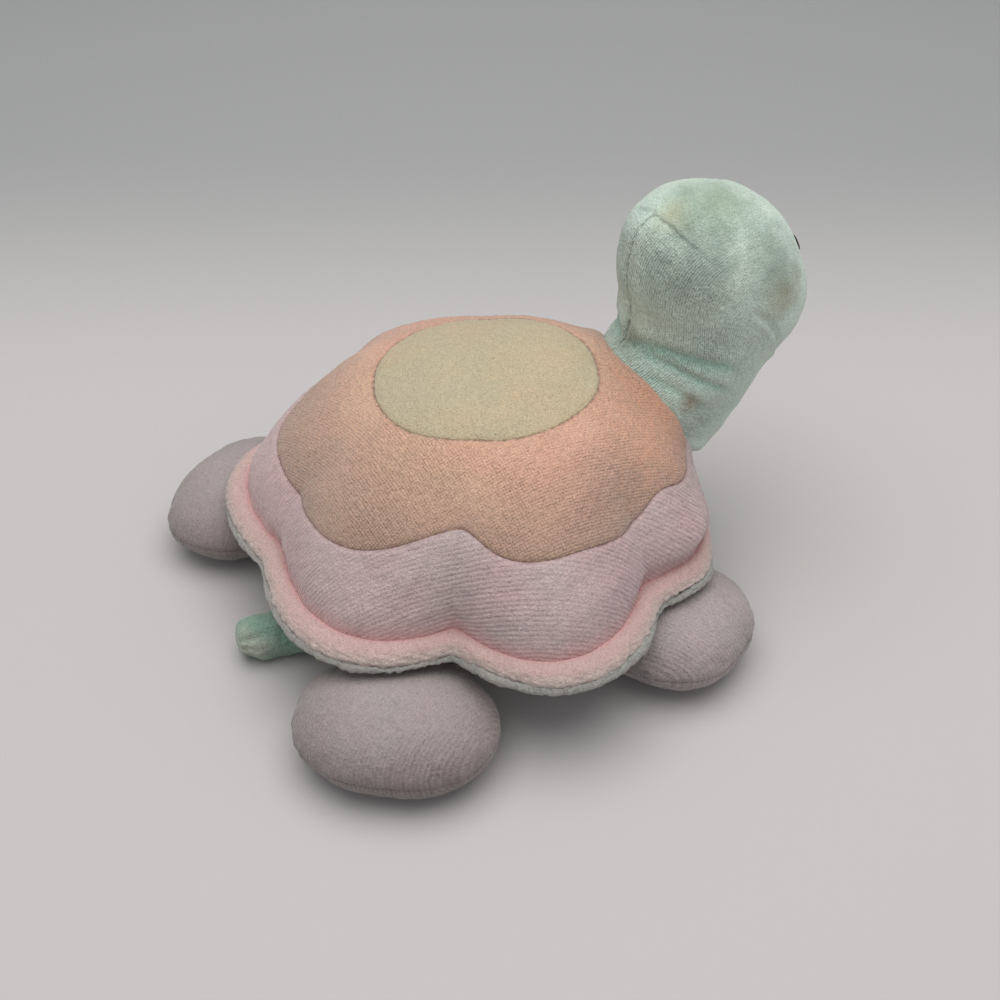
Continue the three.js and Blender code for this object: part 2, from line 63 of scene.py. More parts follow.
# Levels of the shell's seams, and what both ends and the front add to them
APEX_LEVEL, PATCH_LEVEL, PATCH_ENDS, PATCH_FRONT = 0.002, 0.44, 0.034, 0.03
PANEL_LEVEL, PANEL_ENDS, PANEL_FRONT, PANEL_TURNS = 0.803, 0.065, 0.05, (92, 118)
# Rows of the belly: shares of the outline and of the height
BELLY_ROWS = [(1, 1), (0.97, 0.9), (0.86, 0.82), (0.73, 0.73), (0.65, 0.58),
              (0.62, 0.38), (0.57, 0.17), (0.46, 0.04), (0.25, 0.0), (0.1, 0.0), (0, 0)]
BOWL_SHARE, BELLY_MIDDLE_Y = 0.65, 16.0
RIM_WIDTH, RIM_DROOP, RIM_DROP = 9.4, 3.0, 2.0
RIM_FRONT_WIDTH, RIM_FRONT_DROOP, RIM_FRONT = 2.8, 5.0, (126, 148)
NECK_ROOT = np.array([0.0, -68.0, 67.0])
NECK_RADIUS, HEAD_LEAN = 28.5, 34.0
HEAD_HEIGHT, HEAD_REACH, HEAD_HALF_WIDTH = 98.5, 42.0, 34.0
# Rows of the head: shares of its height, its reach before and behind, and its half width
HEAD_ROWS = [(0.015, 0.82, 0.677, 0.83), (0.06, 0.9, 0.665, 0.81), (0.14, 0.97, 0.6, 0.82),
             (0.26, 0.99, 0.53, 0.86), (0.38, 0.985, 0.67, 0.885), (0.495, 0.985, 0.92, 0.945),
             (0.65, 0.995, 1.07, 1), (0.79, 0.855, 1, 0.93), (0.89, 0.585, 0.82, 0.76),
             (0.96, 0.33, 0.55, 0.51)]
FOOT_ROOT, FOOT_ROOT_WIDTH = 8.0, 18.0
FOOT_LENGTH, FOOT_HALF_WIDTH, FOOT_HALF_HEIGHT = 63.0, 38.5, 15.5
# Rows of a foot and of the tail: shares of the length, the half width and the thickness
FOOT_ROWS = [(0.14, 0.7, 0.74), (0.3, 0.92, 0.93), (0.48, 1, 1), (0.68, 0.955, 0.955),
             (0.84, 0.79, 0.79), (0.94, 0.55, 0.55)]
TAIL_ROOT, TAIL_LENGTH, TAIL_RADIUS, TAIL_TURN = 6.5, 36.5, 9.6, -9.0
TAIL_ROWS = [(0.22, 0.95, 0.95), (0.45, 1, 1), (0.75, 0.9, 0.9), (0.94, 0.7, 0.7)]
FLOOR_TOUCH = 0.02

# The cloth is fuller than the solids at the shell's front corners, around the neck, over the chest and at the
# throat. It is calm around the eyes
CORNER_SHARE, CORNER_TURN, CORNER_SPREAD = 0.02, 132, 8.5
COLLAR_LIFT, COLLAR_RADIUS, COLLAR_SPREAD = 3.4, 25.0, 9.0
CHEST_LIFT, CHEST_TURN, CHEST_SPREAD = 4.4, 137, 13
CHEST_ABOVE, CHEST_TALL = 10, 9
THROAT_LIFT, THROAT_BELOW, THROAT_TALL = 7.0, 13, 16
EYES, EYE_SPREAD, EYE_SINK = ("left_eye", "right_eye"), 9.0, 0.1

# Unevenness of the stuffed cloth: heights and wavelengths in millimetres, and seeds
SHELL_WAVES = [(0.45, 52, 11), (0.16, 19, 12), (0.07, 5, 13)]
RIM_WAVES, RIM_FUZZ = [(0.3, 30, 0), (0.14, 9, 1)], [(0.14, 3.4, 2), (0.1, 2.2, 3)]
RIM_TOP_SEED, RIM_UNDER_SEED = 21, 25
BELLY_WAVES, BELLY_SLACK = [(0.5, 30, 31)], 0.4
HEAD_WAVES = [(0.32, 38, 41), (0.1, 14, 42), (0.05, 5, 43)]
TAIL_WAVES = [(0.3, 11, 91), (0.12, 4, 92)]
FOOT_SEED, FOOT_SHIFT, GATHER_SHIFT, GATHER_SEED = 70, 50, 9, 60
FOOT_BUMPS, FOOT_WAVES = [(0.35, 34, 0)], [(0.1, 13, 5), (0.05, 5, 7)]

# Side, turn in degrees, shares of the length and the width, and how far the knit rows are turned
FEET = {"rear_left": (1, 48, 0.93, 1.0, 60), "rear_right": (-1, 57, 1.0, 1.0, 25),
        "front_left": (1, 131, 1.0, 0.88, 0), "front_right": (-1, 131, 1.0, 0.88, 0)}
# How strongly the knit shows on each foot
WORN = {"rear_left": 0.2, "rear_right": 0.6, "front_left": 0.6, "front_right": 1.1}

# Creases of the head: places as degrees from the back seam and shares of the height, depth and width
NECK_FOLDS = [([(4, 0.25), (11, 0.262), (40, 0.322), (59, 0.348), (76, 0.372), (96, 0.392)], 1.5, 2.6),
              ([(22, 0.252), (29, 0.260), (53, 0.285), (69, 0.286), (83, 0.291), (100, 0.30)], 1.1, 2.0),
              ([(36, 0.192), (44, 0.196), (64, 0.201), (82, 0.195), (96, 0.19)], 0.7, 1.8)]
CHIN_CREASE = ([(90, 0.64), (101, 0.629), (114, 0.594), (129, 0.536), (138, 0.50)], 1.3, 1.5)
CROWN_SEAM = ([(-16, 0.733), (0, 0.752), (20, 0.752), (40, 0.738), (46, 0.73)], 0.35, 0.9)
# Degrees over which a crease sets in and dies out
SETS_IN, DIES_OUT = (-6, 8), (-6, 12)

PIVOTS = {joint["child"]: np.array(joint["pos_m"]) / MM
          for joint in frame["record"]["behaviour"]["joints"]}


# Smooth random numbers and curves

def ripple(points, wavelength, seed, count=14):
    """Smooth noise of about unit height over points in mm: plane waves in random directions."""
    rng = np.random.default_rng(seed)
    total = np.zeros(points.shape[:-1])
    for _ in range(count):
        way = rng.normal(size=3)
        way *= (TURN / wavelength) * rng.uniform(0.6, 1.4) / norm(way)
        total += np.sin(points @ way + rng.uniform(0, TURN))
    return total / math.sqrt(count / 2)


def ripples(points, waves, seed=0):
    """Several layers of smooth noise, each with a height and a wavelength in mm and a seed."""
    return sum(height * ripple(points, wavelength, seed + own) for height, wavelength, own in waves)


def smoothstep(x, low, high):
    t = np.clip((x - low) / (high - low), 0, 1)
    return t * t * (3 - 2 * t)


def dip(distance, width):
    """1 at no distance, falling off smoothly over a width."""
    return np.exp(-(distance / width) ** 2)


def between(values, places, wraps):
    """A smooth curve through values along the first axis, read at fractional places."""
    count = len(values)
    index = np.floor(places).astype(int)
    if not wraps:
        index = np.clip(index, 0, count - 2)
    t = (places - index).reshape((-1,) + (1,) * (values.ndim - 1))

    def pick(step):
        at = index + step
        return values[at % count] if wraps else values[np.clip(at, 0, count - 1)]
    p0, p1, p2, p3 = (pick(step) for step in (-1, 0, 1, 2))
    return 0.5 * (2 * p1 + (p2 - p0) * t + (2 * p0 - 5 * p1 + 4 * p2 - p3) * t ** 2
                  + (3 * p1 - p0 - 3 * p2 + p3) * t ** 3)


def evenly(values, count):
    """The same curve, read from end to end at even places."""
    return between(values, np.linspace(0, len(values) - 1, count), False)


def refined(field, rows, columns):
    """A field on a coarse closed grid, read smoothly on a finer one that spans the same grid."""
    field = evenly(field, rows)
    across = np.arange(columns) * (field.shape[1] / columns)
    return between(field.swapaxes(0, 1), across, True).swapaxes(0, 1)


def crease_line(away, height, fold):
    """How strongly a crease of the head is felt at each point."""
    line, depth, width = fold
    degrees, shares = zip(*line)
    middle = np.interp(away, degrees, shares)
    begins = smoothstep(away - degrees[0], *SETS_IN)
    ends = smoothstep(degrees[-1] - away, *DIES_OUT)
    return depth * dip((height - middle) * HEAD_HEIGHT, width) * (begins * ends)


# Meshes

def linked(name, data):
    """A new object in the scene."""
    item = bpy.data.objects.new(name, data)
    bpy.context.collection.objects.link(item)
    return item


def grid_normals(points):
    """Unit normals of a closed grid of points, rows by columns."""
    around = np.roll(points, -1, 1) - np.roll(points, 1, 1)
    normal = np.cross(around, np.gradient(points, axis=0))
    return normal / np.maximum(norm(normal, axis=-1, keepdims=True), 1e-12)


def outward(points, centre):
    """The grid's normals, turned to point away from a centre on the whole."""
    normals = grid_normals(points)
    return normals if np.sum(normals * (points - np.asarray(centre))) > 0 else -normals


def raised(points, lift, centre):
    """Moves each point of a closed grid outwards."""
    return points + outward(points, centre) * lift[..., None]


def ring_faces(rows, columns):
    """Row and column of each face of a closed grid, and its corners as vertex numbers."""
    row = np.repeat(np.arange(rows - 1), columns)
    step = np.tile(np.arange(columns), rows - 1)
    after = (step + 1) % columns
    faces = np.stack([row * columns + step, row * columns + after,
                      (row + 1) * columns + after, (row + 1) * columns + step], axis=1)
    return row, step, faces


def grid_object(name, points, spots, **numbers):
    """A smooth mesh over a closed grid of points in mm, with places on the cloth and numbers per point."""
    rows, columns = points.shape[:2]
    row, step, faces = ring_faces(rows, columns)
    mesh = bpy.data.meshes.new(name)
    mesh.from_pydata((points.reshape(-1, 3) * MM).tolist(), [], faces.tolist())
    layer = mesh.uv_layers.new(name="cloth")
    corners = np.stack([spots[row, step], spots[row, step + 1],
                        spots[row + 1, step + 1], spots[row + 1, step]], axis=1)
    layer.data.foreach_set("uv", (corners.reshape(-1, 2) * MM).ravel())
    for key in ("seam", "fold", "level"):
        values = np.broadcast_to(numbers.get(key, 0.0), points.shape[:2])
        field = mesh.attributes.new(key, "FLOAT", "POINT")
        field.data.foreach_set("value", values.astype(np.float32).ravel())
    mesh.polygons.foreach_set("use_smooth", [True] * len(mesh.polygons))
    mesh.update()
    return linked(name, mesh)


def turned(points, degrees, axis):
    angle = math.radians(degrees)
    c, s = math.cos(angle), math.sin(angle)
    rows = {"x": [[1, 0, 0], [0, c, -s], [0, s, c]], "z": [[c, -s, 0], [s, c, 0], [0, 0, 1]]}[axis]
    return points @ np.array(rows).T


# Swelling: the stuffing presses the sewn skins outwards, and seams and roots are held

SKIN_PRESSURE, SKIN_FRAMES, SKIN_QUALITY = 600.0, 20, 6
SKIN_MASS, SKIN_STIFFNESS, SKIN_BENDING = 0.002, 10, 0.4


def skin_object(name, points, held):
    """A closed mesh over a coarse grid in mm, capped at both ends, with its held points as a group."""
    rows, columns = points.shape[:2]
    faces = ring_faces(rows, columns)[2].tolist()
    total = rows * columns
    ends = [points[0].mean(axis=0), points[-1].mean(axis=0)]
    for step in range(columns):
        after = (step + 1) % columns
        faces.append((total, after, step))
        faces.append((total + 1, (rows - 1) * columns + step, (rows - 1) * columns + after))
    mesh = bpy.data.meshes.new(name)
    places = np.concatenate([points.reshape(-1, 3), ends]) * MM
    mesh.from_pydata(places.tolist(), [], faces)
    mesh.update()
    volume = sum(face.center.dot(face.normal) * face.area for face in mesh.polygons)
    if volume < 0:
        mesh.flip_normals()
    skin = linked(name, mesh)
    group = skin.vertex_groups.new(name="held")
    group.add(np.flatnonzero(held.ravel()).tolist(), 1.0, "REPLACE")
    return skin


def stuff(skin):
    """Makes the skin a cloth under pressure, without gravity, that is fixed at its held points."""
    cloth = skin.modifiers.new("cloth", "CLOTH")
    cloth.settings.quality = SKIN_QUALITY
    cloth.settings.mass = SKIN_MASS
    cloth.settings.tension_stiffness = cloth.settings.compression_stiffness = SKIN_STIFFNESS
    cloth.settings.bending_stiffness = SKIN_BENDING
    cloth.settings.vertex_group_mass = "held"
    cloth.settings.use_pressure = True
    cloth.settings.uniform_pressure_force = SKIN_PRESSURE
    cloth.settings.effector_weights.gravity = 0
    cloth.collision_settings.use_collision = False
    cloth.point_cache.frame_start, cloth.point_cache.frame_end = 1, SKIN_FRAMES


def skin_move(skin, points, cap):
    """How far each point of the grid has moved, softly capped. Each of the tip's two rows moves as one."""
    mesh = skin.evaluated_get(bpy.context.evaluated_depsgraph_get()).to_mesh()
    places = np.empty(len(mesh.vertices) * 3)
    mesh.vertices.foreach_get("co", places)
    move = places.reshape(-1, 3)[:-2].reshape(points.shape) / MM - points
    move[-2:] = move[-2:].mean(axis=1, keepdims=True)
    size = norm(move, axis=-1, keepdims=True)
    return move * np.tanh(size / cap) * cap / np.maximum(size, 1e-9)


def swollen(shapes):
    """Simulates closed skins under pressure. Each shape gives a coarse closed grid in mm, a mask of held
    points and the most that a point may move. Returns how far each grid's points moved."""
    skins = [skin_object(f"skin_{number}", points, held) for number, (points, held, _) in enumerate(shapes)]
    for skin in skins:
        stuff(skin)
    for number in range(1, SKIN_FRAMES + 1):
        bpy.context.scene.frame_set(number)
    moves = [skin_move(skin, points, cap) for skin, (points, _, cap) in zip(skins, shapes)]
    bpy.context.scene.frame_set(1)
    for skin in skins:
        mesh = skin.data
        bpy.data.objects.remove(skin)
        bpy.data.meshes.remove(mesh)
    return moves


# Shell: outline, dome and belly as functions of an angle from behind and a level from the middle

def from_behind(angle):
    """Degrees from straight behind, to either side."""
    return np.abs(np.degrees(np.arctan2(np.sin(angle), np.cos(angle))))


def notch_share(angle):
    """How far the outline is drawn in between the lobes, as a share of its reach."""
    degrees = from_behind(angle)
    share = np.zeros_like(degrees)

    def soft(value):
        return np.sqrt(value * value + NOTCH_SOFT ** 2) - NOTCH_SOFT
    for (low, low_depth), (high, high_depth) in zip(NOTCHES, NOTCHES[1:]):
        place = np.clip((degrees - low) / (high - low), 0, 1)
        lobe = soft(np.sin(np.pi * place)) / soft(1.0)
        depth = low_depth + (high_depth - low_depth) * smoothstep(place, 0, 1)
        share = np.where((degrees >= low) & (degrees <= high), depth * (1 - lobe), share)
    return share


def outline(angle, level):
    """Reach of the shell in mm. The notches and corners fade towards the top."""
    reach = np.where(np.cos(angle) > 0, SHELL_REAR, SHELL_FRONT)
    plain = 1 / np.hypot(np.sin(angle) / SHELL_HALF_WIDTH, np.cos(angle) / reach)
    corner = 1 + CORNER_SHARE * dip(from_behind(angle) - CORNER_TURN, CORNER_SPREAD) * level ** 4
    return plain * (1 - notch_share(angle) * level ** NOTCH_FADE) * corner


def around_shell(angle, radius, middle, height):
    """Points at a distance from the shell's middle line, at an angle from behind."""
    return np.stack([-radius * np.sin(angle), middle + radius * np.cos(angle), height], axis=-1)


def dome(angle, level):
    """Points of the shell's top side, from level 0 at the top to 1 at the crease."""
    radius = outline(angle, level) * level
    end = np.where(np.cos(angle) > 0, REAR_FULL, FRONT_FULL)
    full = SIDE_FULL + (end - SIDE_FULL) * np.cos(angle) ** 2
    middle = APEX_Y + (SHELL_MIDDLE_Y - APEX_Y) * level
    height = CREASE_Z + DOME_RISE * np.maximum(1 - level ** full, 0) ** SHOULDER
    return around_shell(angle, radius, middle, height)


# Levels of the seams around the shell

def apex(angle):
    return 0 * angle + APEX_LEVEL


def patch_edge(angle):
    return PATCH_LEVEL + PATCH_ENDS * np.cos(2 * angle) + PATCH_FRONT * (1 - np.cos(angle)) / 2


def panel_edge(angle):
    turn = from_behind(angle)
    edge = PANEL_LEVEL + PANEL_ENDS * np.cos(angle) ** 2 + PANEL_FRONT * smoothstep(turn, *PANEL_TURNS)
    for cusp, depth, behind, before in CUSPS:
        edge = edge - depth * dip(turn - cusp, np.where(turn < cusp, behind, before))
    return edge


def crease(angle):
    return 0 * angle + 1.0


def ring_angles(count):
    """Even angles around the shell, turned a little so that none falls on the middle line."""
    return np.arange(count) * (TURN / count) + math.radians(RING_TURN)


def band_levels(angles, inner, outer, rows):
    low, high = inner(angles), outer(angles)
    return low[None] + (high - low)[None] * np.linspace(0, 1, rows)[:, None]


SHELL_COLUMNS, SKIN_COLUMNS, SKIN_ROWS, RING_TURN = 840, 120, 13, 0.21
PANELS = {"patch": (apex, patch_edge, 70), "middle": (patch_edge, panel_edge, 90),
          "skirt": (panel_edge, crease, 96)}
SHELL_CENTRE = (0, SHELL_MIDDLE_Y, CREASE_Z)

# The most that the cloth may swell, in millimetres
SHELL_SWELL, HEAD_SWELL, TAIL_SWELL, FOOT_SWELL = 2.2, 1.4, 0.8, 1.6


def shell_skin():
    """The dome as one coarse skin, held at its seams."""
    angles = ring_angles(SKIN_COLUMNS)
    rows = [dome(angles[None], band_levels(angles, inner, outer, SKIN_ROWS))[:-1]
            for inner, outer, _ in PANELS.values()]
    points = np.concatenate(rows + [dome(angles[None], np.ones((1, SKIN_COLUMNS)))])
    held = np.zeros(points.shape[:2], bool)
    held[SKIN_ROWS - 1::SKIN_ROWS - 1] = True
    return points, held, SHELL_SWELL


# Limbs: rings across a line of rows, each with a height, a reach before and behind, and a half width

def limb_rows(radius, half_width, root_shares, length, reach, width, rows, taper):
    """The last rows round off the tip. The taper is how much the limb already narrows where they begin."""
    table = []
    for share in root_shares:
        flat = math.sqrt(1 - share ** 2)
        table.append((radius * share, radius * flat, radius * flat, half_width * flat))
    table += [(h * length, b * reach, a * reach, w * width) for h, b, a, w in rows]
    h0, b0, a0, w0 = table[-1]
    for share in TIP_SHARES:
        size = math.sqrt(1 - taper * share - (1 - taper) * share ** 2)
        table.append((h0 + (length - h0) * share, b0 * size, a0 * size, w0 * size))
    return np.array(table + [(length, 0, 0, 0)])


def limb_grid(table, count, sides):
    """Points and angles of a limb standing on its root, and its rows. The ring starts at the front."""
    dense = evenly(table, CURVE_STEPS * len(table))
    path = np.append(0, np.cumsum(norm(np.diff(dense, axis=0), axis=1)))
    even = np.linspace(0, path[-1], count)
    rows = np.stack([np.interp(even, path, dense[:, k]) for k in range(4)], axis=1)
    rows[:, 1:] = np.maximum(rows[:, 1:], LEAST_REACH)
    angle = np.arange(sides) * (TURN / sides) - math.pi / 2
    height, before, behind, half = (rows[:, k][:, None] for k in range(4))
    points = np.stack([half * np.cos(angle), (behind - before) / 2 + (behind + before) / 2 * np.sin(angle),
                       height + 0 * angle], axis=-1)
    return points, angle, rows


# Rows of the rounded roots, as shares of their radius, and how much each limb narrows before its tip
NECK_ROOT_ROWS, SHORT_ROOT = (-0.94, -0.8, -0.56, -0.28, 0), (-0.92, -0.5, 0)
HEAD_TAPER, TAIL_TAPER, FOOT_TAPER = 0.66, 0.2, 0.62
TIP_SHARES, LEAST_REACH, CURVE_STEPS = (0.35, 0.7, 0.92), 0.01, 40
HEAD_TABLE = limb_rows(NECK_RADIUS, NECK_RADIUS, NECK_ROOT_ROWS, HEAD_HEIGHT,
                       HEAD_REACH, HEAD_HALF_WIDTH, HEAD_ROWS, HEAD_TAPER)
TAIL_TABLE = limb_rows(TAIL_ROOT, TAIL_ROOT, SHORT_ROOT, TAIL_LENGTH, TAIL_RADIUS, TAIL_RADIUS,
                       [(h, b, b, w) for h, w, b in TAIL_ROWS], TAIL_TAPER)


def foot_table(length_share, width_share):
    return limb_rows(FOOT_ROOT, FOOT_ROOT_WIDTH, SHORT_ROOT, FOOT_LENGTH * length_share,
                     FOOT_HALF_HEIGHT, FOOT_HALF_WIDTH * width_share,
                     [(h, b, b, w) for h, w, b in FOOT_ROWS], FOOT_TAPER)


LIMB_SKIN, ROOT_HELD = (44, 60), 4
BACK_HELD, BACK_HELD_BELOW, EDGE_HELD = 1.2, 0.76, 0.6


def limb_skin(table, cap, seam=None):
    """A coarse skin of a limb, held at its root and its seam."""
    points, _, rows = limb_grid(table, *LIMB_SKIN)
    held = np.broadcast_to(rows[:, :1] < ROOT_HELD, points.shape[:2])
    if seam:
        held = held | seam(points, rows)
    return points, held, cap


def back_seam(points, rows):
    return (np.abs(points[..., 0]) < BACK_HELD) & (rows[:, :1] < BACK_HELD_BELOW * HEAD_HEIGHT)


def edge_seam(points, _):
    return np.abs(points[..., 1]) < EDGE_HELD


SHAPES = {"shell": shell_skin(), "head": limb_skin(HEAD_TABLE, HEAD_SWELL, back_seam),
          "tail": limb_skin(TAIL_TABLE, TAIL_SWELL)}
for foot_name, (_, _, long, wide, _) in FEET.items():
    SHAPES[foot_name] = limb_skin(foot_table(long, wide), FOOT_SWELL, edge_seam)
SWELLS = dict(zip(SHAPES, swollen(list(SHAPES.values()))))


# Materials

def srgb(red, green, blue):
    def linear(value):
        value /= 255
        return value / 12.92 if value <= 0.04045 else ((value + 0.055) / 1.055) ** 2.4
    return (linear(red), linear(green), linear(blue), 1)


class Nodes:
    """A short way to write a node tree."""

    def __init__(self, name):
        self.material = bpy.data.materials.new(name)
        self.material.use_nodes = True
        self.tree = self.material.node_tree
        self.shader = self.tree.nodes["Principled BSDF"]

    def add(self, kind, **values):
        node = self.tree.nodes.new(kind)
        for key, value in values.items():
            if key in node.inputs:
                node.inputs[key].default_value = value
            else:
                setattr(node, key, value)
        return node

    def join(self, out, into):
        self.tree.links.new(out, into)

    def value(self, operation, *items):
        node = self.tree.nodes.new("ShaderNodeMath")
        node.operation = operation
        for place, item in enumerate(items):
            if isinstance(item, (int, float)):
                node.inputs[place].default_value = item
            else:
                self.join(item, node.inputs[place])
        return node.outputs[0]

    def mix(self, share, first, second, blend="MIX"):
        node = self.tree.nodes.new("ShaderNodeMix")
        node.data_type, node.blend_type = "RGBA", blend
        for socket, item in ((node.inputs[0], share), (node.inputs[6], first), (node.inputs[7], second)):
            if isinstance(item, (int, float, tuple)):
                socket.default_value = item
            else:
                self.join(item, socket)
        return node.outputs[2]

    def ramp(self, value, low, high):
        node = self.add("ShaderNodeMapRange", **{"From Min": low, "From Max": high})
        self.join(value, node.inputs["Value"])
        return node.outputs[0]

    def number(self, name):
        return self.add("ShaderNodeAttribute", attribute_name=name).outputs["Fac"]

    def noise(self, place, scale, detail=2.0, rough=0.5):
        node = self.add("ShaderNodeTexNoise", Scale=scale, Detail=detail, Roughness=rough)
        self.join(place, node.inputs["Vector"])
        return node.outputs["Fac"]

    def rows(self, place, direction, spacing):
        """Even rows, a spacing in mm apart, that wander a little. 0 between rows, 1 on them."""
        node = self.add("ShaderNodeTexWave", Scale=TURN / (20 * spacing * MM), bands_direction=direction,
                        **ROW_WANDER)
        self.join(place, node.inputs["Vector"])
        return node.outputs["Fac"]

    def bump(self, height, strength, distance):
        node = self.add("ShaderNodeBump", Strength=strength, Distance=distance)
        self.join(height, node.inputs["Height"])
        self.join(node.outputs[0], self.shader.inputs["Normal"])

    def surface(self, values):
        for key, value in values.items():
            self.shader.inputs[key].default_value = value


# Scales of the noise in the cloth, per metre, and how the rows wander
DRIFT, PATCHES, WEAR, RAGGED, STITCHES = 14, 60, 24, 130, 480
ROW_WANDER = {"Distortion": 3.5, "Detail": 3.0, "Detail Scale": 0.22, "Detail Roughness": 0.62}

# Shade and height between the rows, and of the pile's layers: scale, detail, roughness, shade and height
PLAIN, ROW_SHADE, ROW_HEIGHT = 0.4, -0.34, -0.75
PILE_LAYERS = [(1150, 2, 0.6, 0.62, 0.75), (420, 2, 0.5, 0.16, 0.5), (2600, 1, 0.5, 0.36, 0.3)]
BUMP_STRENGTH, BUMP_DEPTH = 0.9, 0.9 * MM
PLAIN_WEAR, FOOT_FADE = (0.35, 0.62), (0.35, 1.3)
SOFT_SHEEN = {"Roughness": 0.95, "Specular IOR Level": 0.12, "Sheen Weight": 0.45, "Sheen Roughness": 0.4,
              "Sheen Tint": (0.95, 0.93, 0.91, 1)}


def knit_rows(n, spacing, turn, grid):
    """Rows on the cloth, crossed by a share of a second set and broken into streaks."""
    place = n.add("ShaderNodeMapping", Rotation=(0, 0, math.radians(turn)))
    n.join(n.add("ShaderNodeUVMap", uv_map="cloth").outputs[0], place.inputs[0])
    weave = n.rows(place.outputs[0], "X", spacing)
    if grid:
        second = n.value("MULTIPLY", n.rows(place.outputs[0], "Y", spacing), grid / 2)
        weave = n.value("ADD", n.value("MULTIPLY", weave, 1 - grid / 2), second)
    long = n.add("ShaderNodeMapping", Scale=(1, 0.8 if grid else 0.34, 1))
    n.join(place.outputs[0], long.inputs[0])
    streaks = n.ramp(n.noise(long.outputs[0], 0.75 / (spacing * MM), 2, 0.6), 0.34, 0.66)
    return n.value("ADD", n.value("MULTIPLY", weave, 0.5), n.value("MULTIPLY", streaks, 0.5))


def spot(n, solid, centre, size):
    """A soft round mask, ragged at its edge, about a place in mm."""
    apart = n.add("ShaderNodeVectorMath", operation="DISTANCE")
    n.join(solid, apart.inputs[0])
    apart.inputs[1].default_value = tuple(value * MM for value in centre)
    reach = n.value("MULTIPLY_ADD", n.noise(solid, RAGGED, 3), size * MM * 0.9, apart.outputs["Value"])
    return n.value("SUBTRACT", 1.0, n.ramp(reach, size * MM * 0.5, size * MM * 1.45))


def cloth_tone(n, solid, colours, tints, marks):
    """The dye drifts slowly between its main, warm and cool colour. A tint follows one of the mesh's numbers
    between two limits, a mark is a soft spot, and each has a strength and a colour. Some tints are painted
    shade and some are painted light."""
    colour, warm, cool = (srgb(*each) for each in colours)
    tone = n.mix(n.ramp(n.noise(solid, DRIFT, 3), 0.35, 0.65), cool, colour)
    tone = n.mix(n.value("MULTIPLY", n.ramp(n.noise(solid, PATCHES, 3), 0.45, 0.75), 0.4), tone, warm)
    masks = [(n.ramp(n.number(key), low, high), strength, tint) for key, low, high, strength, tint in tints]
    masks += [(spot(n, solid, centre, size), strength, mark) for centre, size, strength, mark in marks]
    for mask, strength, shade in masks:
        tone = n.mix(n.value("MULTIPLY", mask, strength), tone, srgb(*shade))
    return tone


def stitched(n, tone, solid, seam):
    """Darker dashes along the seams."""
    stitch = n.ramp(n.noise(solid, STITCHES, 1), 0.38, 0.6)
    mask = n.value("MULTIPLY", n.number("seam"), n.value("MULTIPLY_ADD", stitch, 0.8, 0.1))
    return n.mix(mask, tone, srgb(*seam))


def velour(name, colours, spacing, turn, grid, knit, seam=None, tints=(), marks=(),
           seen=PLAIN_WEAR, fade=None):
    """Short pile on a knitted ground. The rows show as strongly as knit says, most where the pile is worn.
    seen gives the limits of the worn patches, and fade how strong the rows are at level 0 and level 1."""
    n = Nodes("velour " + name)
    solid = n.add("ShaderNodeTexCoord").outputs["Object"]
    weave = knit_rows(n, spacing, turn, grid)
    worn = n.ramp(n.noise(solid, WEAR, 3), *seen)
    shown = n.value("MULTIPLY", n.value("MULTIPLY_ADD", worn, 0.7, 0.3), knit)
    if fade:
        start, end = fade
        shown = n.value("MULTIPLY", shown, n.value("MULTIPLY_ADD", n.number("level"), end - start, start))
    # Between the rows the cloth is darker: partly the knitted ground showing where the pile is worn, partly
    # painted shade in the grooves, on top of the bump
    dark = n.value("MULTIPLY", n.value("SUBTRACT", 1.0, weave), shown)
    shade = n.value("MULTIPLY_ADD", dark, ROW_SHADE, PLAIN)
    height = n.value("MULTIPLY", dark, ROW_HEIGHT)
    for scale, detail, rough, shades, lifts in PILE_LAYERS:
        layer = n.noise(solid, scale, detail, rough)
        shade = n.value("MULTIPLY_ADD", layer, shades, shade)
        height = n.value("MULTIPLY_ADD", layer, lifts, height)
    tone = n.mix(1.0, cloth_tone(n, solid, colours, tints, marks), shade, "MULTIPLY")
    if seam:
        tone = stitched(n, tone, solid, seam)
    n.join(tone, n.shader.inputs["Base Color"])
    n.surface(SOFT_SHEEN)
    n.bump(height, BUMP_STRENGTH, BUMP_DEPTH)
    return n.material


# Tints: a number of the mesh and its two limits, a strength and a colour
PEACH_TINTS = [("level", 0.5, 0.84, 0.85, (188, 159, 142))]
# Painted bounce light: the lilac turns pink at its lower edge by the crease, as if lit by the pink rim
LILAC_TINTS = [("level", 0.975, 1.0, 0.35, (238, 162, 163))]
# Painted bounce light: in the rim's crease the pink is lighter and pinker, lifting the shade there. Towards
# the outer edge the cloth turns greyer
PINK_TINTS = [("level", 0.16, -0.2, 1.0, (236, 183, 181)), ("level", 0.58, 0.9, 0.65, (198, 189, 180))]
# Painted shade: in the neck's folds the mint turns a darker turquoise
MINT_TINTS = [("fold", 0, 1, 0.6, (150, 206, 188))]
# Painted shade on the feet: the cloth darkens towards the floor, following the level number
FOOT_SHADE_TINTS = [("level", 0, 1, 0.62, (122, 107, 104))]

# Stains and spots: a centre and a size in mm, a strength and a colour
YELLOW_STAINS = [((-6, -28, 104), 26, 0.45, (214, 190, 150))]
PEACH_STAINS = [((-34, -66, 82), 46, 0.75, (238, 171, 136)), ((-66, -33, 76), 4, 0.35, (150, 128, 110))]
LILAC_STAINS = [((-92, -28, 52), 30, 0.3, (206, 164, 172))]
TAIL_STAINS = [((-19, 106, 9), 13, 0.8, (196, 194, 180))]
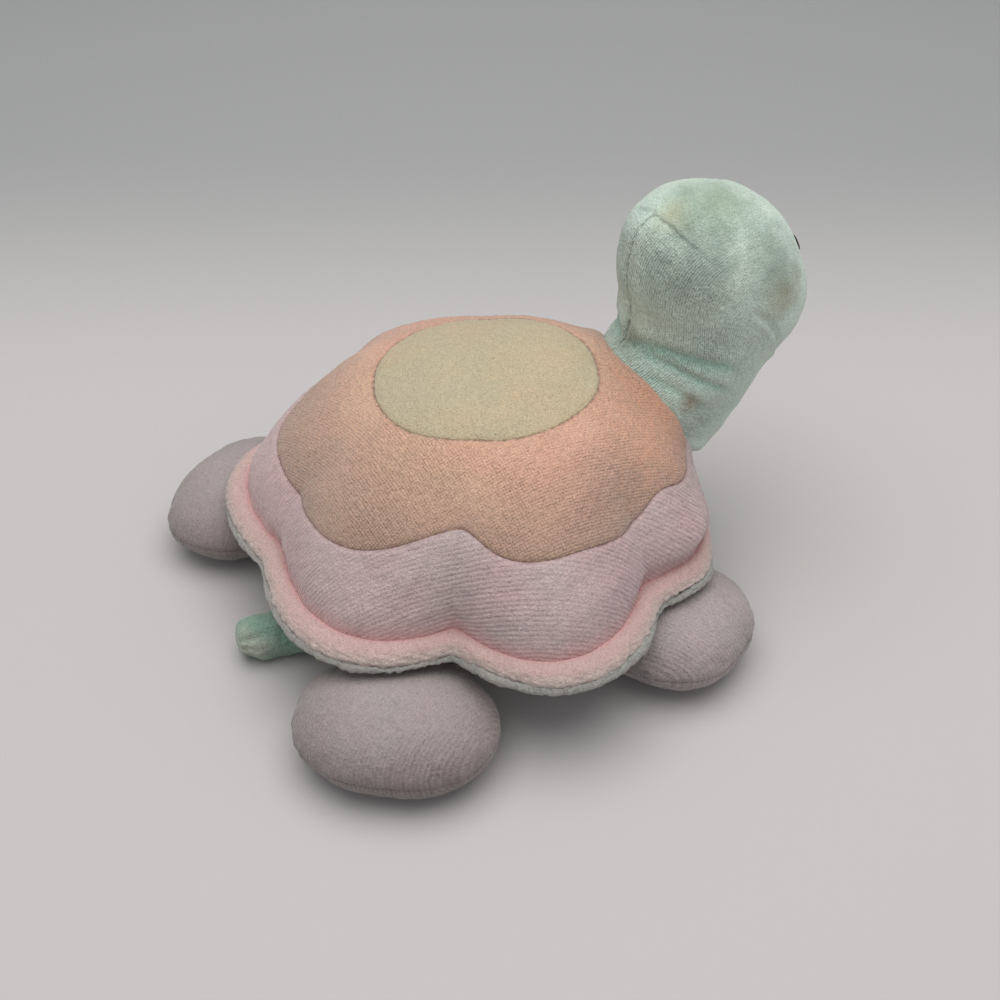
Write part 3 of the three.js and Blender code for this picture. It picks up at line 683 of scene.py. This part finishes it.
# Spots on the head where its cloth is darker, greyer, browner or yellower
MINT_SPOTS = [((-31, -115, 125), 15, 0.75, (164, 154, 124)), ((-28, -80, 81), 6, 0.75, (160, 132, 108)),
               ((-3, -66, 103), 9, 0.7, (146, 152, 126)), ((-10, -92, 160), 30, 0.9, (150, 174, 160)),
               ((-6, -77, 154), 10, 0.5, (190, 184, 138)), ((-10, -94, 158), 18, 0.4, (170, 182, 148)),
               ((-20, -82, 138), 22, 0.75, (142, 156, 144)), ((-27, -111, 138), 20, 0.85, (146, 162, 148))]

MATERIALS = {
    "yellow": velour("yellow", ((206, 186, 154), (212, 183, 147), (197, 185, 155)), 1.3, 60, 0.9, 0.25,
                     (176, 150, 116), marks=YELLOW_STAINS),
    "peach": velour("peach", ((238, 185, 161), (242, 180, 156), (230, 188, 161)), 1.2, 79, 1.0, 1.0,
                    (150, 116, 102), PEACH_TINTS, PEACH_STAINS, seen=(0.3, 0.55)),
    "lilac": velour("lilac", ((211, 182, 180), (215, 176, 178), (206, 186, 183)), 1.8, 13, 0.0, 0.85,
                    (178, 146, 146), LILAC_TINTS, LILAC_STAINS, seen=(0.4, 0.65)),
    "pink": velour("pink", ((209, 177, 171), (210, 184, 173), (205, 171, 167)), 1.7, 0, 0.2, 0.15,
                   tints=PINK_TINTS),
    "under": velour("grey mint", ((172, 167, 160), (172, 164, 155), (167, 167, 160)), 1.7, 0, 0.3, 0.5),
    "mint": velour("mint", ((220, 236, 220), (222, 232, 214), (213, 234, 220)), 1.05, 7, 0.4, 1.4,
                   (74, 86, 82), MINT_TINTS, MINT_SPOTS, seen=(0.3, 0.5), fade=(1.0, 0.0)),
    "tail": velour("tail", ((148, 174, 156), (162, 176, 156), (132, 166, 148)), 1.6, 0, 0.3, 0.5,
                   marks=TAIL_STAINS),
}
# Colours of the feet's cloth. The front feet's are a lighter copy of the rear feet's: painted light
FRONT_LIT_COLOURS = ((198, 183, 181), (201, 181, 178), (194, 182, 181))
REAR_SHADES = ((184, 171, 169), (188, 170, 166), (180, 171, 170))
for foot_name, (_, _, _, _, rows_turn) in FEET.items():
    shades = FRONT_LIT_COLOURS if foot_name.startswith("front") else REAR_SHADES
    MATERIALS[foot_name] = velour("grey lilac " + foot_name.replace("_", " "), shades, 1.45, rows_turn,
                                  0.0, WORN[foot_name], (112, 98, 97), FOOT_SHADE_TINTS, fade=FOOT_FADE)


def dress(piece, material, nodes):
    """Gives a padded piece its cloth, and hides the solids that it stands for."""
    piece.data.materials.append(MATERIALS[material])
    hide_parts(*nodes)


# The shell's panels

def shell_piece(name, points, spots, **numbers):
    piece = grid_object(name, points, spots, **numbers)
    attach(piece, "shell_body")
    return piece


def arc_from_apex(angles, levels):
    """Length in mm along the dome from its top down to each level."""
    steps = np.linspace(0, 1, CURVE_STEPS)[:, None, None]
    path = dome(angles[None, None], steps * levels[None])
    return norm(np.diff(path, axis=0), axis=-1).sum(axis=0)


# Dents in the gathered skirt: number, depth, distance from the edge and width
DENTS, DENT_DEPTH, DENT_AWAY, DENT_WIDTH = 37, 0.5, 1.5, 4.5


def skirt_dents(angles, from_edge):
    wave = 0.5 + 0.5 * np.sin(angles * DENTS + 2.2 * np.sin(angles * 4) + 1.1 * np.sin(angles * 9))
    return -DENT_DEPTH * wave * dip(from_edge - DENT_AWAY, DENT_WIDTH)


def from_neck_line(points):
    """Distance from the line along which the neck rises."""
    lean = math.radians(HEAD_LEAN)
    along = np.array([0, -math.sin(lean), math.cos(lean)])
    away = points - NECK_ROOT
    return norm(away - (away @ along)[..., None] * along, axis=-1)


# How far the cloth turns in at a seam, how far it goes on at the crease, and the width of a seam's stitches
TUCK, CREASE_TUCKS, STITCH_WIDTH = 2.2, (1.6, 3.4), 0.75
TUCKED_ON, CREASE_CALM = 2, 9


def panel_lift(points, angles, from_outer, outer):
    """How far the stuffing lifts a panel: unevenness, the collar around the neck, and the chest."""
    lift = ripples(points, SHELL_WAVES)
    lift = lift + COLLAR_LIFT * dip(from_neck_line(points) - COLLAR_RADIUS, COLLAR_SPREAD)
    if outer is crease:
        chest = CHEST_LIFT * dip(from_behind(angles)[None] - CHEST_TURN, CHEST_SPREAD)
        lift = lift + chest * dip(from_outer - CHEST_ABOVE, CHEST_TALL)
        lift = lift * smoothstep(from_outer, 0, CREASE_CALM) + skirt_dents(angles[None], from_outer)
    return lift


def shell_panel(name, number, inner_seam, outer_seam):
    """One sewn panel of the shell. A seam has a depth and a width in mm, and draws the cloth's edge down."""
    inner, outer, rows = PANELS[name]
    angles = ring_angles(SHELL_COLUMNS)
    levels = band_levels(angles, inner, outer, rows)
    points = dome(angles[None], levels)
    start = number * (SKIN_ROWS - 1)
    points = points + refined(SWELLS["shell"][start:start + SKIN_ROWS], rows, SHELL_COLUMNS)
    normals = outward(points, SHELL_CENTRE)
    down = np.cumsum(norm(np.diff(points, axis=0, prepend=points[:1]), axis=-1), axis=0)
    from_inner, from_outer = down, down[-1:] - down
    lift = panel_lift(points, angles, from_outer, outer)
    seam = np.zeros(points.shape[:2])
    for apart, (depth, width) in ((from_inner, inner_seam), (from_outer, outer_seam)):
        lift = lift - depth * dip(apart, width)
        if depth:
            seam = np.maximum(seam, dip(apart, STITCH_WIDTH))
    points = points + normals * lift[..., None]
    drop = arc_from_apex(angles, levels)
    if outer is crease:
        tucks = [points[-1:] - np.array([0, 0, deep]) for deep in CREASE_TUCKS]
    else:
        tucks = [points[-1:] - TUCK * normals[-1:]]
    before, after = int(inner_seam[0] > 0), len(tucks)
    drop, seam, levels = (np.pad(field, ((before, after), (0, 0)), "edge") for field in (drop, seam, levels))
    drop[:before] -= TUCK
    drop[-after:] += TUCKED_ON
    seam[-after:] *= outer is not crease
    points = np.concatenate([points[:before] - TUCK * normals[:before], points] + tucks)
    ring = np.append(angles, angles[0] + TURN)
    drop = np.concatenate([drop, drop[:, :1]], axis=1)
    spots = np.stack([-drop * np.sin(ring), drop * np.cos(ring)], axis=-1)
    return shell_piece("shell_" + name + "_cloth", points, spots, seam=seam, level=levels)


NO_SEAM, FLAT_SEAM, PANEL_SEAM, CREASE_SEAM = (0.0, 1.0), (0.3, 1.0), (0.4, 1.0), (0.3, 3.0)
dress(shell_panel("patch", 0, NO_SEAM, FLAT_SEAM), "yellow",
      ["shell_top_patch", "body_stuffing"])
dress(shell_panel("middle", 1, FLAT_SEAM, PANEL_SEAM), "peach", ["shell_middle_panel"])
dress(shell_panel("skirt", 2, PANEL_SEAM, CREASE_SEAM), "lilac", ["shell_skirt_panel"])


# The rim: a rolled pink lip over a grey-mint layer

RIM_TOP = [(-0.35, 1.6), (-0.1, 2.7), (0.1, 3.3), (0.3, 3.6), (0.52, 3.5), (0.7, 3.0), (0.82, 2.2),
           (0.88, 1.2), (0.82, -0.6)]
RIM_UNDER = [(-0.22, -0.2), (0.0, -2.4), (0.3, -3.1), (0.65, -3.1), (0.88, -2.7), (1.0, -1.9), (1.05, -0.9),
             (1.03, 0.0), (0.96, 0.5), (0.86, 0.3), (0.74, -0.3)]
RIM_ROWS, RIM_CLEAR = 40, 0.3
RIM_AROUND, RIM_ACROSS = 100, 12


def rim_cloth(name, section, seed):
    """A rolled lip around the shell: a section of reaches (shares of the width) and heights in mm."""
    angles = ring_angles(SHELL_COLUMNS)
    front = smoothstep(from_behind(angles), *RIM_FRONT)
    width = RIM_WIDTH + (RIM_FRONT_WIDTH - RIM_WIDTH) * front
    droop = RIM_DROOP + (RIM_FRONT_DROOP - RIM_DROOP) * front
    section = evenly(np.array(section), RIM_ROWS)
    share, up = section[:, :1], section[:, 1:]
    radius = outline(angles, np.ones_like(angles))[None] + RIM_CLEAR + share * (width[None] - RIM_CLEAR)
    height = CREASE_Z - RIM_DROP - droop[None] * np.clip(share, 0, 1) ** 2 + up
    points = around_shell(angles, radius, SHELL_MIDDLE_Y, height)
    centre = around_shell(angles, radius[0] + width / 2, SHELL_MIDDLE_Y, 0 * angles + CREASE_Z - RIM_DROP)
    lift = ripples(points, RIM_WAVES, seed) * smoothstep(share, 0.1, 0.6)
    lift = lift + ripples(points, RIM_FUZZ, seed) * smoothstep(share, 0.5, 0.8)
    ring = np.append(angles, angles[0] + TURN)
    spots = np.stack(np.broadcast_arrays(ring[None] * RIM_AROUND, share * RIM_ACROSS), axis=-1)
    return shell_piece(name, raised(points, lift, centre), spots, level=share + 0 * radius)


dress(rim_cloth("rim_top_cloth", RIM_TOP, RIM_TOP_SEED), "pink", ["rim_top_band"])
dress(rim_cloth("rim_under_cloth", RIM_UNDER, RIM_UNDER_SEED), "under", ["rim_under_band"])


# The belly: a bowl under the shell, flat where it rests

BELLY_COLUMNS, BELLY_LINES, BELLY_PLACE = 360, 110, 100
BOWL_BOTTOM, BELLY_FREE, LEAST_SHARE = -0.5, (2, 12), 0.002


def belly_cloth():
    angles = ring_angles(BELLY_COLUMNS)
    profile = evenly(np.array(BELLY_ROWS, float), BELLY_LINES)
    share, up = np.maximum(profile[:, :1], LEAST_SHARE), profile[:, 1:]
    radius = outline(angles[None], share) * share
    middle = BELLY_MIDDLE_Y + (SHELL_MIDDLE_Y - BELLY_MIDDLE_Y) * smoothstep(share, BOWL_SHARE, 1)
    height = np.maximum(BOWL_BOTTOM + (CREASE_Z - BOWL_BOTTOM) * up, FLOOR_TOUCH) + 0 * radius
    points = around_shell(angles, radius, middle, height)
    lift = (ripples(points, BELLY_WAVES) - BELLY_SLACK) * smoothstep(points[..., 2], *BELLY_FREE)
    points = raised(points, lift, (0, BELLY_MIDDLE_Y, CREASE_Z))
    points[..., 2] = np.maximum(points[..., 2], FLOOR_TOUCH)
    ring = np.append(angles, angles[0] + TURN)
    spots = np.stack([-share * BELLY_PLACE * np.sin(ring), share * BELLY_PLACE * np.cos(ring)], axis=-1)
    return shell_piece("belly_cloth", points, spots)


dress(belly_cloth(), "under", ["belly_panel"])


# Limbs

# Rows and columns of the fine grids, and places along each limb, from and to, in mm, handed to join_to_shell
HEAD_GRID, FOOT_GRID, TAIL_GRID = (320, 440), (180, 320), (120, 200)
HEAD_BLEND, FOOT_BLEND, TAIL_BLEND = (-12.0, 22.0), (-4.0, 14.0), (-3.0, 9.0)


def lifted(points, lifts):
    """Moves each point of a limb outwards."""
    return raised(points, lifts, points.reshape(-1, 3).mean(axis=0))


def wrapped_places(points):
    """Places on the cloth: how far around from the back, and how far along."""
    closed = np.concatenate([points, points[:, :1]], axis=1)
    around = np.cumsum(norm(np.diff(closed, axis=1), axis=-1), axis=1)
    around = np.concatenate([np.zeros((len(points), 1)), around], axis=1)
    around = around - around[:, around.shape[1] // 2][:, None]
    along = np.append(0, np.cumsum(norm(np.diff(points, axis=0), axis=-1).mean(axis=1)))
    return np.stack([around, np.broadcast_to(along[:, None], around.shape)], axis=-1)


def join_to_shell(piece, body, low, high):
    """Bakes the piece's placement into its mesh. The body and the places low and high are not used."""
    low, high = (tuple(float(value) * MM for value in place) for place in (low, high))
    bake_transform(piece)


def place_head(points):
    return turned(points, HEAD_LEAN, "x") + NECK_ROOT


def near_eyes(points):
    """1 at the middle of each eye and less around it."""
    near = np.zeros(points.shape[:-1])
    for name in EYES:
        eye = frame["nodes"][name]
        middle = np.mean([eye.matrix_world @ vertex.co for vertex in eye.data.vertices], axis=0) / MM
        near = np.maximum(near, dip(norm(points - middle, axis=-1), EYE_SPREAD))
    return near


# Seam along the back of the neck and head: depth, width, and where it starts and ends as shares of the height
BACK_SEAM_DEPTH, BACK_SEAM_WIDTH, BACK_STITCHES = 0.65, 1.4, 0.55
BACK_SEAM_START, BACK_SEAM_STOP = (0.02, 0.12), (0.73, 0.755)

# A puff of cloth lies above each fold, and below the chin's crease
PUFF_ABOVE, PUFF_SHARE, PUFF_WIDTH, CHIN_BELOW, CHIN_SHARE = 0.034, 0.5, 1.7, 0.03, 0.4
FOLD_FULL, CROWN_STITCHES, HEAD_PLAIN = 1.6, 1.6, 0.9

# Where the head's knit gets plain, as shares of the height and degrees from the back, and where tips get even
PLAIN_ABOVE, PLAIN_AHEAD, PAST_TIP, HEAD_TIP, TAIL_TIP = (0.6, 0.8), (95, 135), 1.02, 0.05, 0.12


def head_cloth():
    points, angle, rows = limb_grid(HEAD_TABLE, *HEAD_GRID)
    calm = 1 - near_eyes(place_head(points))
    points = points + refined(SWELLS["head"], *HEAD_GRID) * calm[..., None]
    height = rows[:, :1] / HEAD_HEIGHT + 0 * angle
    sideways = np.abs(points[..., 0])
    low, high = BACK_SEAM_STOP
    back = smoothstep(height, *BACK_SEAM_START) * smoothstep(-height, -high, -low) * (np.sin(angle)[None] > 0)
    signed = np.degrees(np.arctan2(-np.cos(angle), np.sin(angle)))[None] + 0 * height
    away = np.abs(signed)
    folds = sum(crease_line(away, height, fold) for fold in NECK_FOLDS)
    puffs = sum(PUFF_SHARE * crease_line(away, height - PUFF_ABOVE, (line, depth, PUFF_WIDTH * width))
                for line, depth, width in NECK_FOLDS)
    chin = crease_line(away, height, CHIN_CREASE)
    chin = chin - CHIN_SHARE * crease_line(away, height + CHIN_BELOW, CHIN_CREASE)
    crown = crease_line(signed, height, CROWN_SEAM)
    lifts = ripples(points, HEAD_WAVES) - BACK_SEAM_DEPTH * dip(sideways, BACK_SEAM_WIDTH) * back
    lifts = lifts - folds + puffs - chin - crown
    lifts = lifts * smoothstep(PAST_TIP - height, 0, HEAD_TIP) * calm - EYE_SINK * (1 - calm)
    throat = THROAT_LIFT * dip(rows[:, :1] + THROAT_BELOW, THROAT_TALL)
    points = place_head(lifted(points, lifts + throat * smoothstep(-np.sin(angle), 0, 0.85)))
    seam = np.maximum(dip(sideways, BACK_STITCHES) * back, CROWN_STITCHES * crown)
    plain = HEAD_PLAIN * np.maximum(smoothstep(height, *PLAIN_ABOVE), smoothstep(away, *PLAIN_AHEAD))
    # The fold number carries the painted shade of the neck's creases
    piece = grid_object("head_cloth", points, wrapped_places(points), seam=np.clip(seam, 0, 1),
                        fold=np.clip(folds / FOLD_FULL, 0, 1), level=plain)
    dress(piece, "mint", ["head_left_panel", "head_right_panel", "head_stuffing"])
    join_to_shell(piece, "head", *(place_head(np.array([0.0, 0.0, reach])) for reach in HEAD_BLEND))


head_cloth()


def laid(points, degrees, origin):
    """A limb standing on its root, laid down along +Y, turned about z and put in its place."""
    flat = np.stack([points[..., 0], points[..., 2], -points[..., 1]], axis=-1)
    placed = turned(flat, degrees, "z") + origin
    placed[..., 2] = np.maximum(placed[..., 2], FLOOR_TOUCH)
    return placed


def blend_low_limb(piece, body, degrees, reaches):
    """Works out two places level with a foot's or the tail's joint, and has join_to_shell bake its placement.
    """
    ends = [laid(np.array([[0.0, 0.0, reach]]), degrees, PIVOTS[body])[0] for reach in reaches]
    for place in ends:
        place[2] = PIVOTS[body][2]
    join_to_shell(piece, body, *ends)


# The seam around a foot: its depth, width and stitches, and the gathers beside it
FOOT_SEAM_DEPTH, FOOT_SEAM_WIDTH, FOOT_STITCHES, FOOT_SEAM_SHOWN = 0.6, 1.0, 0.5, 0.9
GATHER_LIFT, GATHER_WAVE, GATHER_RADIUS, GATHER_AWAY, GATHER_WIDTH = 0.08, 3.6, 42, 2, 2.4
FOOT_MIDDLE, ROWS_SLANT = 0.48, 0.4

# Painted shade: the feet's cloth is darker low down, fading out between two heights in mm, less on the front
# feet
FOOT_PAINTED_SHADE, FRONT_PAINTED_SHADE, PAINTED_SHADE_BELOW = 1.0, 0.7, (14, 39)


def foot_lifts(points, along, half_width, seed):
    """How far a foot's cloth stands out, how strongly its seam is felt, and the distance to it."""
    edge = np.abs(points[..., 1])
    across = points[..., 0] / half_width
    ahead = along - FOOT_MIDDLE
    outer = smoothstep(np.hypot(across, ahead / (1 - FOOT_MIDDLE)), 0.5, 0.92)
    path = np.arctan2(across, ahead) * GATHER_RADIUS
    line = np.stack([path, 0 * path, 0 * path + seed * GATHER_SHIFT], axis=-1)
    gather = ripple(line, GATHER_WAVE, seed + GATHER_SEED)
    lifts = ripples(points + seed * FOOT_SHIFT, FOOT_BUMPS, seed) + ripples(points, FOOT_WAVES, seed)
    lifts = lifts + GATHER_LIFT * gather * dip(edge - GATHER_AWAY, GATHER_WIDTH) * outer
    return lifts - FOOT_SEAM_DEPTH * dip(edge, FOOT_SEAM_WIDTH) * outer, outer, edge


def foot_cloth(name, seed):
    side, turn, length_share, width_share, _ = FEET[name]
    body = name + "_foot"
    points, angle, rows = limb_grid(foot_table(length_share, width_share), *FOOT_GRID)
    points = points + refined(SWELLS[name], *FOOT_GRID)
    along = rows[:, :1] / (FOOT_LENGTH * length_share) + 0 * angle
    lifts, outer, edge = foot_lifts(points, along, FOOT_HALF_WIDTH * width_share, seed)
    up = rows[:, :1] + 0 * points[..., 0] - ROWS_SLANT * points[..., 1]
    spots = np.stack([points[..., 0], up], axis=-1)
    spots = np.concatenate([spots, spots[:, :1]], axis=1)
    points = laid(lifted(points, lifts), -side * turn, PIVOTS[body])
    dark = FRONT_PAINTED_SHADE if name.startswith("front") else FOOT_PAINTED_SHADE
    # Painted shade, strongest at the floor and gone above the band
    low = dark * (1 - smoothstep(points[..., 2], *PAINTED_SHADE_BELOW))
    piece = grid_object(body + "_cloth", points, spots, level=low,
                        seam=FOOT_SEAM_SHOWN * dip(edge, FOOT_STITCHES) * outer)
    dress(piece, name, [body + "_stuffing", body + "_top", body + "_sole"])
    blend_low_limb(piece, body, -side * turn, FOOT_BLEND)


for foot_number, foot_name in enumerate(FEET):
    foot_cloth(foot_name, foot_number + FOOT_SEED)


PLEAT_LIFT, PLEATS = 0.5, 9


def tail_cloth():
    points, angle, rows = limb_grid(TAIL_TABLE, *TAIL_GRID)
    points = points + refined(SWELLS["tail"], *TAIL_GRID)
    along = rows[:, :1] / TAIL_LENGTH + 0 * angle
    pleats = PLEAT_LIFT * np.sin(angle * PLEATS + 2 * np.sin(angle * 2))[None] * smoothstep(along, 0.6, 0.95)
    lifts = (pleats + ripples(points, TAIL_WAVES)) * smoothstep(PAST_TIP - along, 0, TAIL_TIP)
    points = laid(lifted(points, lifts), TAIL_TURN, PIVOTS["tail"])
    piece = grid_object("tail_cloth", points, wrapped_places(points))
    dress(piece, "tail", ["tail_cover", "tail_stuffing"])
    blend_low_limb(piece, "tail", TAIL_TURN, TAIL_BLEND)


tail_cloth()


# Embroidered eyes. Scale of the thread's waves per metre, and how deep they are

THREADS, THREAD_DEPTH = 700.0, 0.3 * MM


def satin_thread():
    n = Nodes("satin thread")
    n.surface({"Base Color": srgb(30, 28, 30), "Roughness": 0.45})
    wave = n.add("ShaderNodeTexWave", Scale=THREADS, Distortion=1.0)
    n.join(n.add("ShaderNodeTexCoord").outputs["Object"], wave.inputs["Vector"])
    n.bump(wave.outputs["Fac"], 0.5, THREAD_DEPTH)
    return n.material


thread = satin_thread()
for eye_name in EYES:
    slots = frame["nodes"][eye_name].data.materials
    slots.clear()
    slots.append(thread)


# Floor, light and camera

# Directions on the floor: away from the camera and across. Sizes of the sheet in metres
AWAY, ACROSS = np.array([0.911, -0.413]), np.array([-0.413, -0.911])
SHEET_HALF, SHEET_BACK, SHEET_RISE, SHEET_BEND = 3.0, 1.1, 1.4, 0.3
# Painted shade on the paper: it darkens between two distances in metres away from the camera, from its near
# to its far colour
SHEET_BELOW, DARKER_FROM, DARKER_TO = 0.0002, 0.12, 0.42
NEAR_PAPER, FAR_PAPER_SHADED = (199, 195, 194), (164, 165, 164)


def paper():
    """Pale paper with painted shade: a little darker and cooler further away."""
    n = Nodes("pale paper")
    far = n.add("ShaderNodeVectorMath", operation="DOT_PRODUCT")
    n.join(n.add("ShaderNodeTexCoord").outputs["Object"], far.inputs[0])
    far.inputs[1].default_value = (*AWAY, 0)
    share = n.add("ShaderNodeMapRange", interpolation_type="SMOOTHSTEP",
                  **{"From Min": DARKER_FROM, "From Max": DARKER_TO})
    n.join(far.outputs["Value"], share.inputs["Value"])
    n.join(n.mix(share.outputs[0], srgb(*NEAR_PAPER), srgb(*FAR_PAPER_SHADED)), n.shader.inputs["Base Color"])
    n.surface({"Roughness": 0.9})
    return n.material


def stage():
    """A sheet that curves up behind the toy."""
    start, bend = SHEET_BACK - SHEET_BEND, SHEET_BEND
    profile = [(-SHEET_HALF, 0.0), (start, 0.0)]
    for angle in np.linspace(0.1, math.pi / 2, 12):
        profile.append((start + bend * math.sin(angle), bend - bend * math.cos(angle)))
    profile.append((SHEET_BACK, SHEET_RISE))
    points = [(*(AWAY * out + ACROSS * sideways), up - SHEET_BELOW)
              for out, up in profile for sideways in (-SHEET_HALF, SHEET_HALF)]
    faces = [(2 * k, 2 * k + 1, 2 * k + 3, 2 * k + 2) for k in range(len(profile) - 1)]
    mesh = bpy.data.meshes.new("floor")
    mesh.from_pydata(points, [], faces)
    mesh.materials.append(paper())
    mesh.polygons.foreach_set("use_smooth", [True] * len(faces))
    linked("floor", mesh)


LAMP_PLACE, LAMP_SIZE, LAMP_POWER, LAMP_COLOUR = (0.0, -0.02, 1.3), 1.8, 16, (1.0, 0.985, 0.97)
SKY_COLOUR, SKY_STRENGTH = (0.93, 0.96, 1.0, 1), 0.45


def light():
    """A broad lamp overhead, and a soft even light from all around."""
    data = bpy.data.lights.new("overhead", "AREA")
    data.shape = "DISK"
    data.size, data.energy, data.color = LAMP_SIZE, LAMP_POWER, LAMP_COLOUR
    lamp = linked("overhead", data)
    lamp.location = LAMP_PLACE
    lamp.rotation_euler = (-Vector(LAMP_PLACE)).to_track_quat("-Z", "Y").to_euler()
    world = bpy.data.worlds.new("studio")
    world.use_nodes = True
    sky = world.node_tree.nodes["Background"].inputs
    sky["Color"].default_value, sky["Strength"].default_value = SKY_COLOUR, SKY_STRENGTH
    bpy.context.scene.world = world


# Where the photo was taken from: degrees from the head's side and up, metres, and the lens in millimetres
AZIMUTH, ELEVATION, DISTANCE = math.radians(245.6), math.radians(38.4), 0.61224
LOOKED_AT, LENS, SENSOR = (-0.0057, -0.0071, 0.040), 54.0, 36.0


def view():
    data = bpy.data.cameras.new("camera")
    data.lens, data.sensor_width = LENS, SENSOR
    camera = linked("camera", data)
    level = math.cos(ELEVATION)
    back = Vector((math.sin(AZIMUTH) * level, -math.cos(AZIMUTH) * level, math.sin(ELEVATION)))
    camera.location = Vector(LOOKED_AT) + DISTANCE * back
    camera.rotation_euler = back.to_track_quat("Z", "Y").to_euler()
    bpy.context.scene.camera = camera
    bpy.context.scene.view_settings.view_transform = "Standard"


stage()
light()
view()
